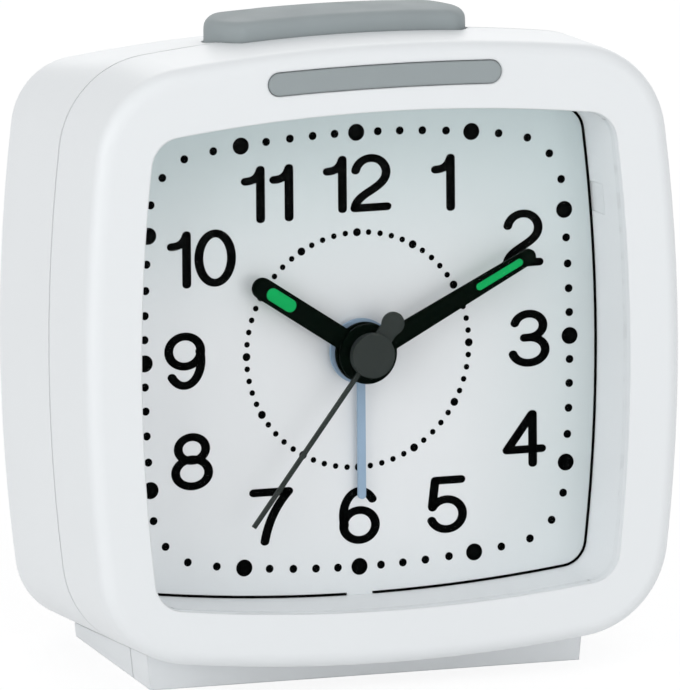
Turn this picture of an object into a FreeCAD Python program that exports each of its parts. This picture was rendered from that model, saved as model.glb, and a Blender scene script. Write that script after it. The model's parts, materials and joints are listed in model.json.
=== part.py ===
import FreeCAD, Part

import math
import os

from FreeCAD import Placement, Rotation, Vector

# Bedside quartz alarm clock.
#
# The clock is drawn upright in its case frame: X to the right, Y from the bezel's face into the
# clock, Z up, with the hands' axis along Y through X = 0, Z = 0. The finished pieces are then leaned
# back onto the plinth, so that the plinth's underside is Z = 0 and its centre is the origin.

os.makedirs("parts", exist_ok=True)

# ---------------------------------------------------------------- clearances, mm
GAP = 0.3              # between moving pieces and what they pass
SNUG = 0.1             # between pieces that locate each other
RUNNING = 0.08         # radial, between an arbor and its hole
PRESSED = 0.02         # radial, between a pressed piece and its arbor
OVERCUT = 1.0          # how far a cut runs past the surface that it opens

# ---------------------------------------------------------------- case, mm
LEAN = 6.0             # degrees that the face leans back
CASE_HALF_WIDTH = 42.2
CASE_HALF_HEIGHT = 41.7
CASE_RISE = 0.8        # the case's middle above the hands' axis
SIDE_RADIUS = 233.0    # bulge of the left and right sides
TOP_RADIUS = 240.0     # bulge of the top and bottom
CORNER_RADIUS = 13.3
FRONT_SHELL_DEPTH = 15.3
REAR_SHELL_DEPTH = 24.7
REAR_SIDE_TAPER = 1.4  # how far each side of the rear shell draws in at its back
REAR_TOP_TAPER = 3.1   # and its top
REAR_BASE_TAPER = 0.7  # and its bottom
REAR_CORNER_RADIUS = 9.0
FRONT_ROUNDING = 2.0
REAR_CHAMFER = 2.2
WALL = 2.0
PARTING_GAP = 0.3      # the groove that runs round the case
TONGUE_THICKNESS = 1.0
TONGUE_LENGTH = 1.8
HOOK_X = 20.0          # the two hooks that hold the shells together at the bottom
HOOK_HALF_WIDTH = 3.0
HOOK_REACH = 0.6
HOOK_LENGTH = 0.8

PLINTH_HALF_WIDTH = 30.6
PLINTH_DRAFT = 6.0     # degrees that the plinth's ends lean in towards its foot
PLINTH_FRONT = 9.0
PLINTH_BACK = 37.0
PLINTH_DROP = 2.8      # below the case's lowest line, at the plinth's front

# ---------------------------------------------------------------- window, lens and dial, mm
DIAL_DEPTH = 11.0      # from the bezel's face to the dial's face
WINDOW_HALF_WIDTH = 34.2
WINDOW_HALF_HEIGHT = 33.1
WINDOW_RADIUS = 237.0  # bulge of the window's sides
WINDOW_CORNER = 3.75
WINDOW_DRAFT = 0.5     # how much wider the window is at the face, each side
WINDOW_WALL = 1.2
WINDOW_TUBE_END = 13.0
LENS_DEPTH = 0.8
LENS_THICKNESS = 1.2
CATCH_POCKET_Z = 18.8  # shallow pockets in the window's side walls
CATCH_POCKET_HALF = 2.0
CATCH_POCKET_DEPTH = 0.4
CATCH_POCKET_FRONT = 6.8
DIAL_THICKNESS = 0.6
DIAL_GAP = 0.35        # the dark line round the dial
DIAL_TAB_WIDTH = 3.6
DIAL_TAB_REACH = 0.7
INLAY_CENTRE_Z = 38.35
INLAY_HALF_LENGTH = 16.5
INLAY_HEIGHT = 3.05
INLAY_RADIUS = 400.0   # the strip's gentle curve
INLAY_THICKNESS = 1.0
INLAY_PROUD = 0.2

# ---------------------------------------------------------------- case screws, mm
SCREW_SPREAD = 30.1    # the two screws, left and right, near the top corners
SCREW_HEIGHT = 29.1
BOSS_RADIUS = 2.6
POST_RADIUS = 2.9
SCREW_HEAD_RADIUS = 2.0
SCREW_HEAD_HEIGHT = 1.5
SCREW_SHANK_RADIUS = 1.1
SCREW_HEAD_SEAT = 34.0
PILOT_DEPTH = 3.4
STOP_RIB_X = 23.5      # ribs on the back wall that stop the movement from behind
STOP_RIB_HEIGHTS = (-8.0, 14.0)
STOP_RIB_THICKNESS = 1.2
STOP_RIB_LENGTH = 5.0

# ---------------------------------------------------------------- snooze button, mm
BUTTON_FRONT = 12.6
BUTTON_DEPTH = 12.6
BUTTON_HALF_WIDTH = 15.3   # at the front and rear corners
BUTTON_END_BULGE = 2.8     # the ends curve out between the corners
BUTTON_PROUD = 2.55
BUTTON_CHAMFER = 0.8
BUTTON_SKIN = 1.6
BUTTON_TRAVEL = 1.5
FLANGE_WIDTH = 1.0
FLANGE_HEIGHT = 1.2
PLUNGER_HALF_WIDTH = 2.0
PLUNGER_DEPTH = 3.0
LEAF_CLEARANCE = 3.2       # pressed leaf above the movement
LEAF_THICKNESS = 0.3
LEAF_WIDTH = 2.5
LEAF_KNEE_RISE = 1.06      # the bend above the movement
LEAF_LANDING = 3.0         # the flat under the plunger
LEAF_ROOT_LENGTH = 3.0     # the part soldered to the circuit board

# ---------------------------------------------------------------- movement, mm
MOVEMENT_HALF_WIDTH = 26.0
MOVEMENT_TOP = 18.6
MOVEMENT_BOTTOM = -15.6
MOVEMENT_CORNER = 2.5
MOVEMENT_FRONT = 11.9
MOVEMENT_SPLIT = 20.2
MOVEMENT_BACK = 30.0
MOVEMENT_WALL = 1.2
BRIDGE_FRONT = 18.2
BRIDGE_THICKNESS = 0.8
BRIDGE_HALF_WIDTH = 11.6
BRIDGE_LEDGE = 1.3     # ledges in the corners that the bridge lies on
BRIDGE_LEDGE_LENGTH = 2.4
BUSH_RADIUS = 3.4
BUSH_LENGTH = 1.2
SPACER_X = 22.6        # pads that hold the movement off the dial
SPACER_SIZE = 3.0
CLIP_HEIGHTS = (-8.0, 11.0)
CLIP_WIDTH = 4.0
CLIP_THICKNESS = 0.9
CLIP_REACH = 4.2       # how far the cover's clips reach over the front case
CATCH_LENGTH = 1.2
CATCH_SETBACK = 1.9    # from the parting line to the catch

# ---------------------------------------------------------------- gear train
WHEEL_THICKNESS = 0.8
PINION_THICKNESS = 1.3
PINION_MARGIN = 0.2    # how far a pinion stands out past the wheel that it meshes with
ARBOR_SHOULDER = 1.0   # a setting arbor is thick from this far in front of its leaves
MESH_PLAY = 0.03       # added to every centre distance
ADDENDUM = 0.9         # in modules
DEDENDUM = 1.15        # in modules
ROOT_SHARE_PINION, TIP_SHARE_PINION = 0.20, 0.09   # half tooth widths, in pitches
ROOT_SHARE_WHEEL, TIP_SHARE_WHEEL = 0.23, 0.09
SMALLEST_WHEEL = 16    # fewer teeth than this is a pinion

KNOB_SPREAD = 13.5     # the two setting arbors, left and right of the hands' axis
KNOB_DROP = -3.0       # and below it
MOTION_DISTANCE = 7.6  # hands' axis to the minute wheel, and minute wheel to the setting arbor
THIRD_DISTANCE = 8.5
THIRD_ANGLE = 90.0
INTERMEDIATE_DISTANCE = 8.7
INTERMEDIATE_ANGLE = -135.0
ROTOR_DISTANCE = 5.9
ROTOR_ANGLE = -45.0

TEETH_CANNON, TEETH_MINUTE = 8, 24
TEETH_MINUTE_PINION, TEETH_HOUR = 6, 24
TEETH_TIME_SET = 8
TEETH_SECONDS_PINION, TEETH_THIRD = 6, 45
TEETH_THIRD_PINION, TEETH_CENTRE = 6, 48
TEETH_INTERMEDIATE_PINION, TEETH_SECONDS = 6, 30
TEETH_ROTOR, TEETH_INTERMEDIATE = 6, 36
TEETH_ALARM_SET, TEETH_ALARM = 15, 30

LAYER_ALARM = 13.5     # front of each pair of meshing gears
LAYER_HOUR = 14.9
LAYER_MINUTE = 16.5
LAYER_CENTRE = 19.4
LAYER_THIRD = 21.1
LAYER_SECONDS = 22.8
LAYER_INTERMEDIATE = 24.5

SECONDS_ARBOR_RADIUS = 0.45
CANNON_OUTER_RADIUS = 1.0
TUBE_WALL = 0.5
THIN_ARBOR_RADIUS = 0.45
SETTING_ARBOR_RADIUS = 1.0
BEARING_HALF_WIDTH = 1.4
BEARING_LENGTH = 1.5

# ---------------------------------------------------------------- hands, mm
ALARM_HAND_LIFT = 0.9      # gap from the dial's face to each hand's underside
HOUR_HAND_LIFT = 2.2
MINUTE_HAND_LIFT = 3.6
SECOND_HAND_LIFT = 4.9
ALARM_HAND_THICKNESS = 0.4
HAND_THICKNESS = 0.5
SECOND_HAND_THICKNESS = 0.4
SECOND_CAP_HEIGHT = 1.2
HOUR_ANGLE = 303.4         # clockwise from 12
MINUTE_ANGLE = 63.0
SECOND_ANGLE = 217.3
ALARM_ANGLE = 180.0
HOUR_LENGTH = 18.7
MINUTE_LENGTH = 26.8
SECOND_LENGTH = 27.9
ALARM_LENGTH = 20.0
HOUR_HUB_RADIUS = 4.1
MINUTE_HUB_RADIUS = 4.05
SECOND_CAP_RADIUS = 3.0
ALARM_HUB_RADIUS = 4.4
HOUR_HAND_WIDTH = 2.9
MINUTE_HAND_WIDTH = 2.9
MINUTE_TIP_WIDTH = 2.1
SECOND_HAND_WIDTH = 0.6
ALARM_HAND_WIDTH = 1.1
SECOND_TAIL_LENGTH = 6.7
SECOND_TAIL_RADIUS = 1.6
SECOND_NECK_WIDTH = 2.56   # the counterweight, between its round end and the cap
PIPE_PROUD = 0.1           # each hand's pipe stands this far out of the hand
LUME_MARGIN = 0.55
LUME_PROUD = 0.05
HOUR_LUME_LENGTH = 4.7
HOUR_LUME_TIP_MARGIN = 2.2
MINUTE_LUME_LENGTH = 7.4
MINUTE_LUME_TIP_MARGIN = 2.05

# ---------------------------------------------------------------- electrics, mm
BATTERY_RADIUS = 7.2
BATTERY_LENGTH = 49.0
BATTERY_NUB_RADIUS = 2.7
BATTERY_NUB_LENGTH = 1.3
BATTERY_Y = 29.2
BATTERY_Z = -26.6
CONTACT_THICKNESS = 0.4
CONTACT_SPRING_REACH = 1.6
BAY_WALL = 1.2
BAY_ROOM = 0.4
CONTACT_WIDTH = 6.0
CONTACT_BUMP = 2.6
DOOR_THICKNESS = 1.6
DOOR_PIN_RADIUS = 0.45
DOOR_PIN_REACH = 0.5
FINGER_NOTCH_RADIUS = 5.0
FINGER_NOTCH_DEPTH = 0.8

KNOB_RADIUS = 5.2
KNOB_HEIGHT = 3.2
KNOB_CHAMFER = 0.4
KNOB_FLUTES = 18
KNOB_FLUTE_DEPTH = 0.45
KNOB_SOCKET_DEPTH = 3.0
KNOB_STEM_RADIUS = 1.9
KNOB_STEM_LENGTH = 4.0     # inside the case
SWITCH_X, SWITCH_Z = -16.0, 11.5
SWITCH_TRAVEL = 3.0
SWITCH_CAP_LENGTH, SWITCH_CAP_HEIGHT, SWITCH_CAP_DEPTH = 6.0, 4.4, 1.3
SWITCH_STEM_LENGTH, SWITCH_STEM_HEIGHT = 2.4, 1.4
SWITCH_FLANGE_DEPTH = 0.8
SWITCH_GROOVES = 5
SWITCH_GROOVE_PITCH, SWITCH_GROOVE_WIDTH, SWITCH_GROOVE_DEPTH = 1.1, 0.5, 0.4
BUZZER_X, BUZZER_Z = 15.2, 10.4
BUZZER_RADIUS = 6.0
BUZZER_HEIGHT = 7.0
BOARD_FRONT = 26.6
BOARD_THICKNESS = 1.0
BOARD_LOW = (-24.0, 5.6)    # X and Z of the board's lower left corner
BOARD_HIGH = (24.0, 15.5)
CHIP_X, CHIP_Z = 6.5, 11.0
CHIP_RADIUS = 2.6
CHIP_HEIGHT = 0.9
CRYSTAL_X, CRYSTAL_Z = -11.5, 14.0
CRYSTAL_LENGTH = 6.0
CRYSTAL_RADIUS = 1.0
COIL_LENGTH = 15.0
COIL_RADIUS = 2.6
COIL_CORE = 2.2        # the iron bar's width
COIL_FLANGE = 1.0
COIL_FLANGE_WIDTH = 5.8
COIL_SLEEVE = 0.5      # the bobbin's wall round the iron
COIL_OVERHANG = 1.2
COIL_HEIGHT = 4.6      # above the movement's bottom
COIL_FROM_ROTOR = 5.6
STATOR_THICKNESS = 0.8
STATOR_RIM = 1.0        # iron left round the magnet's hole
ROTOR_MAGNET_RADIUS = 1.6
ROTOR_MAGNET_HEIGHT = 1.2
ROTOR_MAGNET_SETBACK = 2.4  # from the magnet's front to the intermediate wheel's
SOUND_SLOTS = 5
SOUND_SLOT_PITCH = 2.2
SOUND_SLOT_HEIGHT = 1.1
SOUND_SLOT_HALF_LENGTH = 4.6

# ---------------------------------------------------------------- sizes that follow
PARTING = FRONT_SHELL_DEPTH
REAR_START = PARTING + PARTING_GAP
CASE_BACK = REAR_START + REAR_SHELL_DEPTH
REAR_WALL_INNER = CASE_BACK - WALL
KNOB_STEM_FRONT = REAR_WALL_INNER - KNOB_STEM_LENGTH
DIAL_BACK = DIAL_DEPTH + DIAL_THICKNESS
PLUNGER_FOOT_Z = MOVEMENT_TOP + LEAF_CLEARANCE + BUTTON_TRAVEL + SNUG
LEAN_SLOPE = math.tan(math.radians(LEAN))
CASE_TOP = CASE_RISE + CASE_HALF_HEIGHT
CASE_BOTTOM = CASE_RISE - CASE_HALF_HEIGHT
PLINTH_MIDDLE = (PLINTH_FRONT + PLINTH_BACK) / 2
BORE_SECONDS = SECONDS_ARBOR_RADIUS + RUNNING
BORE_CANNON = CANNON_OUTER_RADIUS + RUNNING
HOUR_TUBE_RADIUS = BORE_CANNON + TUBE_WALL
BORE_HOUR = HOUR_TUBE_RADIUS + RUNNING
ALARM_TUBE_RADIUS = BORE_HOUR + TUBE_WALL
BORE_ALARM = ALARM_TUBE_RADIUS + RUNNING


# ================================================================ shape helpers
def box(low, high):
    """A box between two opposite corners."""
    size = [b - a for a, b in zip(low, high)]
    return Part.makeBox(size[0], size[1], size[2], Vector(*low))


def rod(radius, y_start, y_end, x=0.0, z=0.0):
    """A cylinder along Y."""
    return Part.makeCylinder(radius, y_end - y_start, Vector(x, y_start, z), Vector(0, 1, 0))


def along_x(radius, x_start, x_end, y, z):
    """A cylinder along X."""
    return Part.makeCylinder(radius, x_end - x_start, Vector(x_start, y, z), Vector(1, 0, 0))


def tube(outer, inner, y_start, y_end, x=0.0, z=0.0):
    """A hollow cylinder along Y."""
    return rod(outer, y_start, y_end, x, z).cut(rod(inner, y_start - OVERCUT, y_end + OVERCUT, x, z))


def fuse(shapes):
    """One clean solid from shapes that meet."""
    shapes = list(shapes)
    return shapes[0].fuse(shapes[1:]).removeSplitter()


def extrude(wire, depth):
    """A wire's face, pushed along Y."""
    return Part.Face(wire).extrude(Vector(0, depth, 0))


def soft_square(half_width, half_height, side_radius, top_radius, corner, y):
    """A closed wire at depth y: four bulging sides joined by four tangent corner arcs."""
    side_x = half_width - side_radius
    top_z = half_height - top_radius
    a, b = side_radius - corner, top_radius - corner
    # The corner's centre lies at distance a from the side's centre and b from the top's centre.
    gap_x, gap_z = -side_x, top_z
    reach = math.hypot(gap_x, gap_z)
    along = (a * a - b * b + reach * reach) / (2 * reach)
    across = math.sqrt(a * a - along * along)
    corner_x = side_x + (along * gap_x - across * gap_z) / reach
    corner_z = (along * gap_z + across * gap_x) / reach

    def on_corner(from_x, from_z):
        dx, dz = corner_x - from_x, corner_z - from_z
        scale = corner / math.hypot(dx, dz)
        return corner_x + dx * scale, corner_z + dz * scale

    side_end = on_corner(side_x, 0)
    top_end = on_corner(0, top_z)
    middle = math.atan2(side_end[1] - corner_z, side_end[0] - corner_x)
    middle = (middle + math.atan2(top_end[1] - corner_z, top_end[0] - corner_x)) / 2
    bend = corner_x + corner * math.cos(middle), corner_z + corner * math.sin(middle)

    def at(point, sx=1, sz=1):
        return Vector(sx * point[0], y, sz * point[1])

    right, top = (half_width, 0), (0, half_height)
    arcs = [
        (at(side_end, 1, -1), at(right), at(side_end)),
        (at(side_end), at(bend), at(top_end)),
        (at(top_end), at(top), at(top_end, -1)),
        (at(top_end, -1), at(bend, -1), at(side_end, -1)),
        (at(side_end, -1), at(right, -1), at(side_end, -1, -1)),
        (at(side_end, -1, -1), at(bend, -1, -1), at(top_end, -1, -1)),
        (at(top_end, -1, -1), at(top, 1, -1), at(top_end, 1, -1)),
        (at(top_end, 1, -1), at(bend, 1, -1), at(side_end, 1, -1)),
    ]
    return Part.Wire([Part.Arc(*arc).toShape() for arc in arcs])


def case_outline(inset, y, drawn_in=0.0):
    """The case's outline, inset all round; drawn_in goes from 0 at the parting line to 1 at the back."""
    top = REAR_TOP_TAPER * drawn_in
    bottom = REAR_BASE_TAPER * drawn_in
    wire = soft_square(
        CASE_HALF_WIDTH - REAR_SIDE_TAPER * drawn_in - inset,
        CASE_HALF_HEIGHT - (top + bottom) / 2 - inset,
        SIDE_RADIUS - inset,
        TOP_RADIUS - inset,
        CORNER_RADIUS + (REAR_CORNER_RADIUS - CORNER_RADIUS) * drawn_in - inset,
        y,
    )
    wire.translate(Vector(0, 0, CASE_RISE - (top - bottom) / 2))
    return wire


def rear_outline(inset, y):
    """The rear shell's outline at depth y, inset all round."""
    return case_outline(inset, y, rear_share(y))


def window_outline(outset, y):
    """The window's outline at the dial, grown by outset."""
    return soft_square(
        WINDOW_HALF_WIDTH + outset,
        WINDOW_HALF_HEIGHT + outset,
        WINDOW_RADIUS + outset,
        WINDOW_RADIUS + outset,
        WINDOW_CORNER + outset,
        y,
    )


def loft(first, last):
    return Part.makeLoft([first, last], True, True)


def rear_share(y):
    """How much of its taper the rear shell has at depth y: none at the parting line, all at the back."""
    return (y - REAR_START) / REAR_SHELL_DEPTH


def window_outset(y):
    """How far the drafted window has opened out at depth y, in front of the dial."""
    return WINDOW_DRAFT * (DIAL_DEPTH - y) / DIAL_DEPTH


def edges_at(shape, y):
    """The edges that lie wholly at depth y."""
    near = 1e-4
    return [e for e in shape.Edges if abs(e.BoundBox.YMin - y) < near and abs(e.BoundBox.YMax - y) < near]


def base_z(y):
    """Height of the surface that the clock stands on, in the case frame."""
    return CASE_BOTTOM - PLINTH_DROP + (y - PLINTH_FRONT) * LEAN_SLOPE


def polygon(points, y):
    """A closed wire through (x, z) points at depth y."""
    corners = [Vector(x, y, z) for x, z in points]
    return Part.makePolygon(corners + corners[:1])


# ================================================================ gear helpers
def polar(distance, degrees, origin=(0.0, 0.0)):
    angle = math.radians(degrees)
    return origin[0] + distance * math.cos(angle), origin[1] + distance * math.sin(angle)


def module_for(distance, teeth_a, teeth_b):
    """The module that sets two gears in mesh at this distance, with a little play."""
    return 2 * (distance - MESH_PLAY) / (teeth_a + teeth_b)


def gear(teeth, module, phase, centre, y, thickness, bore):
    """A spur gear along Y with straight-flanked teeth; phase is one tooth's angle in radians."""
    pitch = 2 * math.pi / teeth
    pinion = teeth < SMALLEST_WHEEL
    root_share = ROOT_SHARE_PINION if pinion else ROOT_SHARE_WHEEL
    tip_share = TIP_SHARE_PINION if pinion else TIP_SHARE_WHEEL
    tip = module * (teeth / 2 + ADDENDUM)
    root = module * (teeth / 2 - DEDENDUM)
    shape = ((root, -root_share), (tip, -tip_share), (tip, tip_share), (root, root_share))
    points = []
    for tooth in range(teeth):
        for radius, share in shape:
            angle = phase + (tooth + share) * pitch
            points.append((centre[0] + radius * math.cos(angle), centre[1] + radius * math.sin(angle)))
    blank = extrude(polygon(points, y), thickness)
    if not bore:
        return blank
    return blank.cut(rod(bore, y - OVERCUT, y + thickness + OVERCUT, *centre))


def mating_phase(phase, teeth, centre, other_teeth, other_centre):
    """The phase that puts the other gear's tooth in this gear's gap, where the two meet."""
    facing = math.atan2(other_centre[1] - centre[1], other_centre[0] - centre[0])
    return facing + math.pi - (phase - facing) * teeth / other_teeth + math.pi / other_teeth


# ================================================================ where the arbors stand
HANDS = (0.0, 0.0)
TIME_SET = (KNOB_SPREAD, KNOB_DROP)
ALARM_SET = (-KNOB_SPREAD, KNOB_DROP)
THIRD = polar(THIRD_DISTANCE, THIRD_ANGLE)
INTERMEDIATE = polar(INTERMEDIATE_DISTANCE, INTERMEDIATE_ANGLE)
ROTOR = polar(ROTOR_DISTANCE, ROTOR_ANGLE, INTERMEDIATE)
SETTING_DISTANCE = math.hypot(*TIME_SET)


def minute_wheel_centre():
    """The minute wheel is as far from the hands' axis as from the setting arbor, and above both."""
    half = SETTING_DISTANCE / 2
    rise = math.sqrt(MOTION_DISTANCE ** 2 - half ** 2)
    ux, uz = TIME_SET[0] / SETTING_DISTANCE, TIME_SET[1] / SETTING_DISTANCE
    return TIME_SET[0] / 2 - uz * rise, TIME_SET[1] / 2 + ux * rise


MINUTE = minute_wheel_centre()
MODULE_MOTION = module_for(MOTION_DISTANCE, TEETH_CANNON, TEETH_MINUTE)
MODULE_HOUR = module_for(MOTION_DISTANCE, TEETH_MINUTE_PINION, TEETH_HOUR)
MODULE_THIRD = module_for(THIRD_DISTANCE, TEETH_SECONDS_PINION, TEETH_THIRD)
MODULE_CENTRE = module_for(THIRD_DISTANCE, TEETH_THIRD_PINION, TEETH_CENTRE)
MODULE_SECONDS = module_for(INTERMEDIATE_DISTANCE, TEETH_INTERMEDIATE_PINION, TEETH_SECONDS)
MODULE_ROTOR = module_for(ROTOR_DISTANCE, TEETH_ROTOR, TEETH_INTERMEDIATE)
MODULE_ALARM = module_for(SETTING_DISTANCE, TEETH_ALARM_SET, TEETH_ALARM)

CANNON_PHASE = 0.0
MINUTE_PHASE = mating_phase(CANNON_PHASE, TEETH_CANNON, HANDS, TEETH_MINUTE, MINUTE)
TIME_SET_PHASE = mating_phase(MINUTE_PHASE, TEETH_MINUTE, MINUTE, TEETH_TIME_SET, TIME_SET)
MINUTE_PINION_PHASE = 0.0
HOUR_PHASE = mating_phase(MINUTE_PINION_PHASE, TEETH_MINUTE_PINION, MINUTE, TEETH_HOUR, HANDS)
SECONDS_PINION_PHASE = 0.0
THIRD_PHASE = mating_phase(SECONDS_PINION_PHASE, TEETH_SECONDS_PINION, HANDS, TEETH_THIRD, THIRD)
THIRD_PINION_PHASE = 0.0
CENTRE_PHASE = mating_phase(THIRD_PINION_PHASE, TEETH_THIRD_PINION, THIRD, TEETH_CENTRE, HANDS)
SECONDS_PHASE = 0.0
INTERMEDIATE_PINION_PHASE = mating_phase(
    SECONDS_PHASE, TEETH_SECONDS, HANDS, TEETH_INTERMEDIATE_PINION, INTERMEDIATE
)
INTERMEDIATE_PHASE = 0.0
ROTOR_PHASE = mating_phase(INTERMEDIATE_PHASE, TEETH_INTERMEDIATE, INTERMEDIATE, TEETH_ROTOR, ROTOR)
ALARM_PHASE = 0.0
ALARM_SET_PHASE = mating_phase(ALARM_PHASE, TEETH_ALARM, HANDS, TEETH_ALARM_SET, ALARM_SET)


# ================================================================ case
def screw_spots():
    """The two case screws, mirrored left and right."""
    return [(side * SCREW_SPREAD, SCREW_HEIGHT) for side in (-1, 1)]


def plinth(y_start, y_end):
    """A slice of the plinth, cut off level with the surface that the clock stands on."""
    lowest = base_z(PLINTH_FRONT)
    foot = PLINTH_HALF_WIDTH
    waist = CASE_BOTTOM + WALL
    top = foot + (waist - lowest) * math.tan(math.radians(PLINTH_DRAFT))
    section = polygon([(-foot, lowest), (foot, lowest), (top, waist), (-top, waist)], y_start)
    block = extrude(section, y_end - y_start)
    front, back = y_start - OVERCUT, y_end + OVERCUT
    wedge = [
        Vector(-CASE_HALF_WIDTH, front, base_z(front)),
        Vector(-CASE_HALF_WIDTH, back, base_z(back)),
        Vector(-CASE_HALF_WIDTH, back, lowest - WALL),
        Vector(-CASE_HALF_WIDTH, front, lowest - WALL),
    ]
    below = Part.Face(Part.makePolygon(wedge + wedge[:1])).extrude(Vector(2 * CASE_HALF_WIDTH, 0, 0))
    return block.cut(below)


def arc_band(low_radius, high_radius, y_start, y_end):
    """The space between two arcs that run along the case's top, at depths y_start to y_end."""
    centre_z = CASE_TOP - TOP_RADIUS
    band = tube(high_radius, low_radius, y_start, y_end, 0, centre_z)
    keep = box(
        (-CASE_HALF_WIDTH, y_start - OVERCUT, 0), (CASE_HALF_WIDTH, y_end + OVERCUT, TOP_RADIUS)
    )
    return band.common(keep)


def button_plan(grow, low, high):
    """The button's plan, grown by grow, as a prism from height low to high."""
    x = BUTTON_HALF_WIDTH + grow
    front = BUTTON_FRONT - grow
    back = BUTTON_FRONT + BUTTON_DEPTH + grow
    middle = (front + back) / 2
    bulge = x + BUTTON_END_BULGE
    corners = [Vector(-x, front, low), Vector(x, front, low), Vector(x, back, low), Vector(-x, back, low)]
    wire = Part.Wire([
        Part.makeLine(corners[0], corners[1]),
        Part.Arc(corners[1], Vector(bulge, middle, low), corners[2]).toShape(),
        Part.makeLine(corners[2], corners[3]),
        Part.Arc(corners[3], Vector(-bulge, middle, low), corners[0]).toShape(),
    ])
    return Part.Face(wire).extrude(Vector(0, 0, high - low))


def button_opening():
    return button_plan(GAP, CASE_TOP - 3 * WALL, CASE_TOP + WALL)


def inlay_outline(grow, y):
    """The strip above the window: two concentric arcs closed by round ends."""
    half = INLAY_HEIGHT / 2 + grow
    centre_z = INLAY_CENTRE_Z - INLAY_RADIUS
    reach = (INLAY_HALF_LENGTH - INLAY_HEIGHT / 2) / INLAY_RADIUS

    def at(radius, angle):
        return Vector(radius * math.sin(angle), y, centre_z + radius * math.cos(angle))

    high, low = INLAY_RADIUS + half, INLAY_RADIUS - half
    turn = half / INLAY_RADIUS
    return Part.Wire([
        Part.Arc(at(high, -reach), at(high, 0), at(high, reach)).toShape(),
        Part.Arc(at(high, reach), at(INLAY_RADIUS, reach + turn), at(low, reach)).toShape(),
        Part.Arc(at(low, reach), at(low, 0), at(low, -reach)).toShape(),
        Part.Arc(at(low, -reach), at(INLAY_RADIUS, -reach - turn), at(high, -reach)).toShape(),
    ])


def dial_tabs(grow, y_start, y_end):
    """The dial's locating tabs at top and bottom, or the notches they drop into."""
    half = DIAL_TAB_WIDTH / 2 + grow
    reach = WINDOW_HALF_HEIGHT + DIAL_TAB_REACH + grow
    inside = WINDOW_HALF_HEIGHT - WALL
    return [
        box((-half, y_start, inside), (half, y_end, reach)),
        box((-half, y_start, -reach), (half, y_end, -inside)),
    ]


def wall_pockets():
    """Shallow rectangular pockets in the window's left and right walls, next to the dial."""
    reach = WINDOW_HALF_WIDTH + CATCH_POCKET_DEPTH
    half = CATCH_POCKET_HALF
    return [
        box(
            (min(0, side * reach), CATCH_POCKET_FRONT, CATCH_POCKET_Z - half),
            (max(0, side * reach), DIAL_DEPTH + SNUG, CATCH_POCKET_Z + half),
        )
        for side in (-1, 1)
    ]


def front_housing():
    outer = extrude(case_outline(0, 0), FRONT_SHELL_DEPTH)
    outer = outer.makeFillet(FRONT_ROUNDING, edges_at(outer, 0))
    outer = fuse([outer, plinth(PLINTH_FRONT, PARTING)])

    window_tube = extrude(window_outline(WINDOW_WALL, 0), WINDOW_TUBE_END)
    bosses = [rod(BOSS_RADIUS, DIAL_BACK + SNUG, PARTING, *spot) for spot in screw_spots()]
    kept = fuse([window_tube] + bosses)
    cavity = extrude(case_outline(WALL, WALL), FRONT_SHELL_DEPTH).cut(kept)

    opening = loft(
        window_outline(window_outset(-OVERCUT), -OVERCUT), window_outline(0, DIAL_DEPTH)
    )
    behind = extrude(window_outline(0, DIAL_DEPTH), PARTING + OVERCUT - DIAL_DEPTH)
    behind = behind.cut(fuse(bosses))
    shell = outer.cut(cavity).cut(opening).cut(behind)
    recess = INLAY_THICKNESS - INLAY_PROUD
    shell = shell.cut(extrude(inlay_outline(SNUG, -OVERCUT), OVERCUT + recess))
    shell = shell.cut(button_opening())
    for notch in dial_tabs(SNUG, DIAL_DEPTH, WINDOW_TUBE_END + OVERCUT):
        shell = shell.cut(notch)
    for spot in screw_spots():
        pilot = rod(SCREW_SHANK_RADIUS + PRESSED, PARTING - PILOT_DEPTH, PARTING + OVERCUT, *spot)
        shell = shell.cut(pilot)
    for pocket in hooks(GAP) + wall_pockets():
        shell = shell.cut(pocket)
    return shell.removeSplitter()


def battery_bay():
    """Half sizes and ends of the space that the battery lies in."""
    half_x = BATTERY_LENGTH / 2 + BATTERY_NUB_LENGTH / 2 + CONTACT_SPRING_REACH + CONTACT_THICKNESS
    half_z = BATTERY_RADIUS + BAY_ROOM
    return half_x, BATTERY_Z - half_z, BATTERY_Z + half_z, BATTERY_Y - BATTERY_RADIUS - BAY_ROOM


def tongue():
    """The rim that guides the rear shell into the front shell."""
    outside = WALL + SNUG
    start = PARTING - TONGUE_LENGTH
    length = TONGUE_LENGTH + PARTING_GAP + WALL
    ring = extrude(case_outline(outside, start), length)
    root = extrude(case_outline(WALL / 2, REAR_START), WALL)
    room = extrude(case_outline(outside + TONGUE_THICKNESS, start - OVERCUT), length + 2 * OVERCUT)
    ring = fuse([ring, root]).cut(room)
    for spot in screw_spots():
        ring = ring.cut(rod(BOSS_RADIUS + GAP, start - OVERCUT, PARTING, *spot))
    return ring.cut(button_plan(FLANGE_WIDTH + GAP, 0, CASE_TOP))


def hooks(grow):
    """The hooks along the bottom of the tongue, or the pockets that they snap into."""
    start = PARTING - TONGUE_LENGTH - grow
    length = HOOK_LENGTH + 2 * grow
    rim = extrude(case_outline(WALL + SNUG - HOOK_REACH - grow, start), length)
    rim = rim.cut(extrude(case_outline(WALL + SNUG + TONGUE_THICKNESS / 2, start), length))
    half = HOOK_HALF_WIDTH + grow
    return [
        rim.common(box((x - half, start, -CASE_HALF_HEIGHT), (x + half, start + length, 0)))
        for x in (-HOOK_X, HOOK_X)
    ]


def door_axis():
    """Depth and height of the battery door's hinge line."""
    low = battery_bay()[1]
    return CASE_BACK - DOOR_THICKNESS / 2, low + GAP + DOOR_THICKNESS / 2


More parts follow.
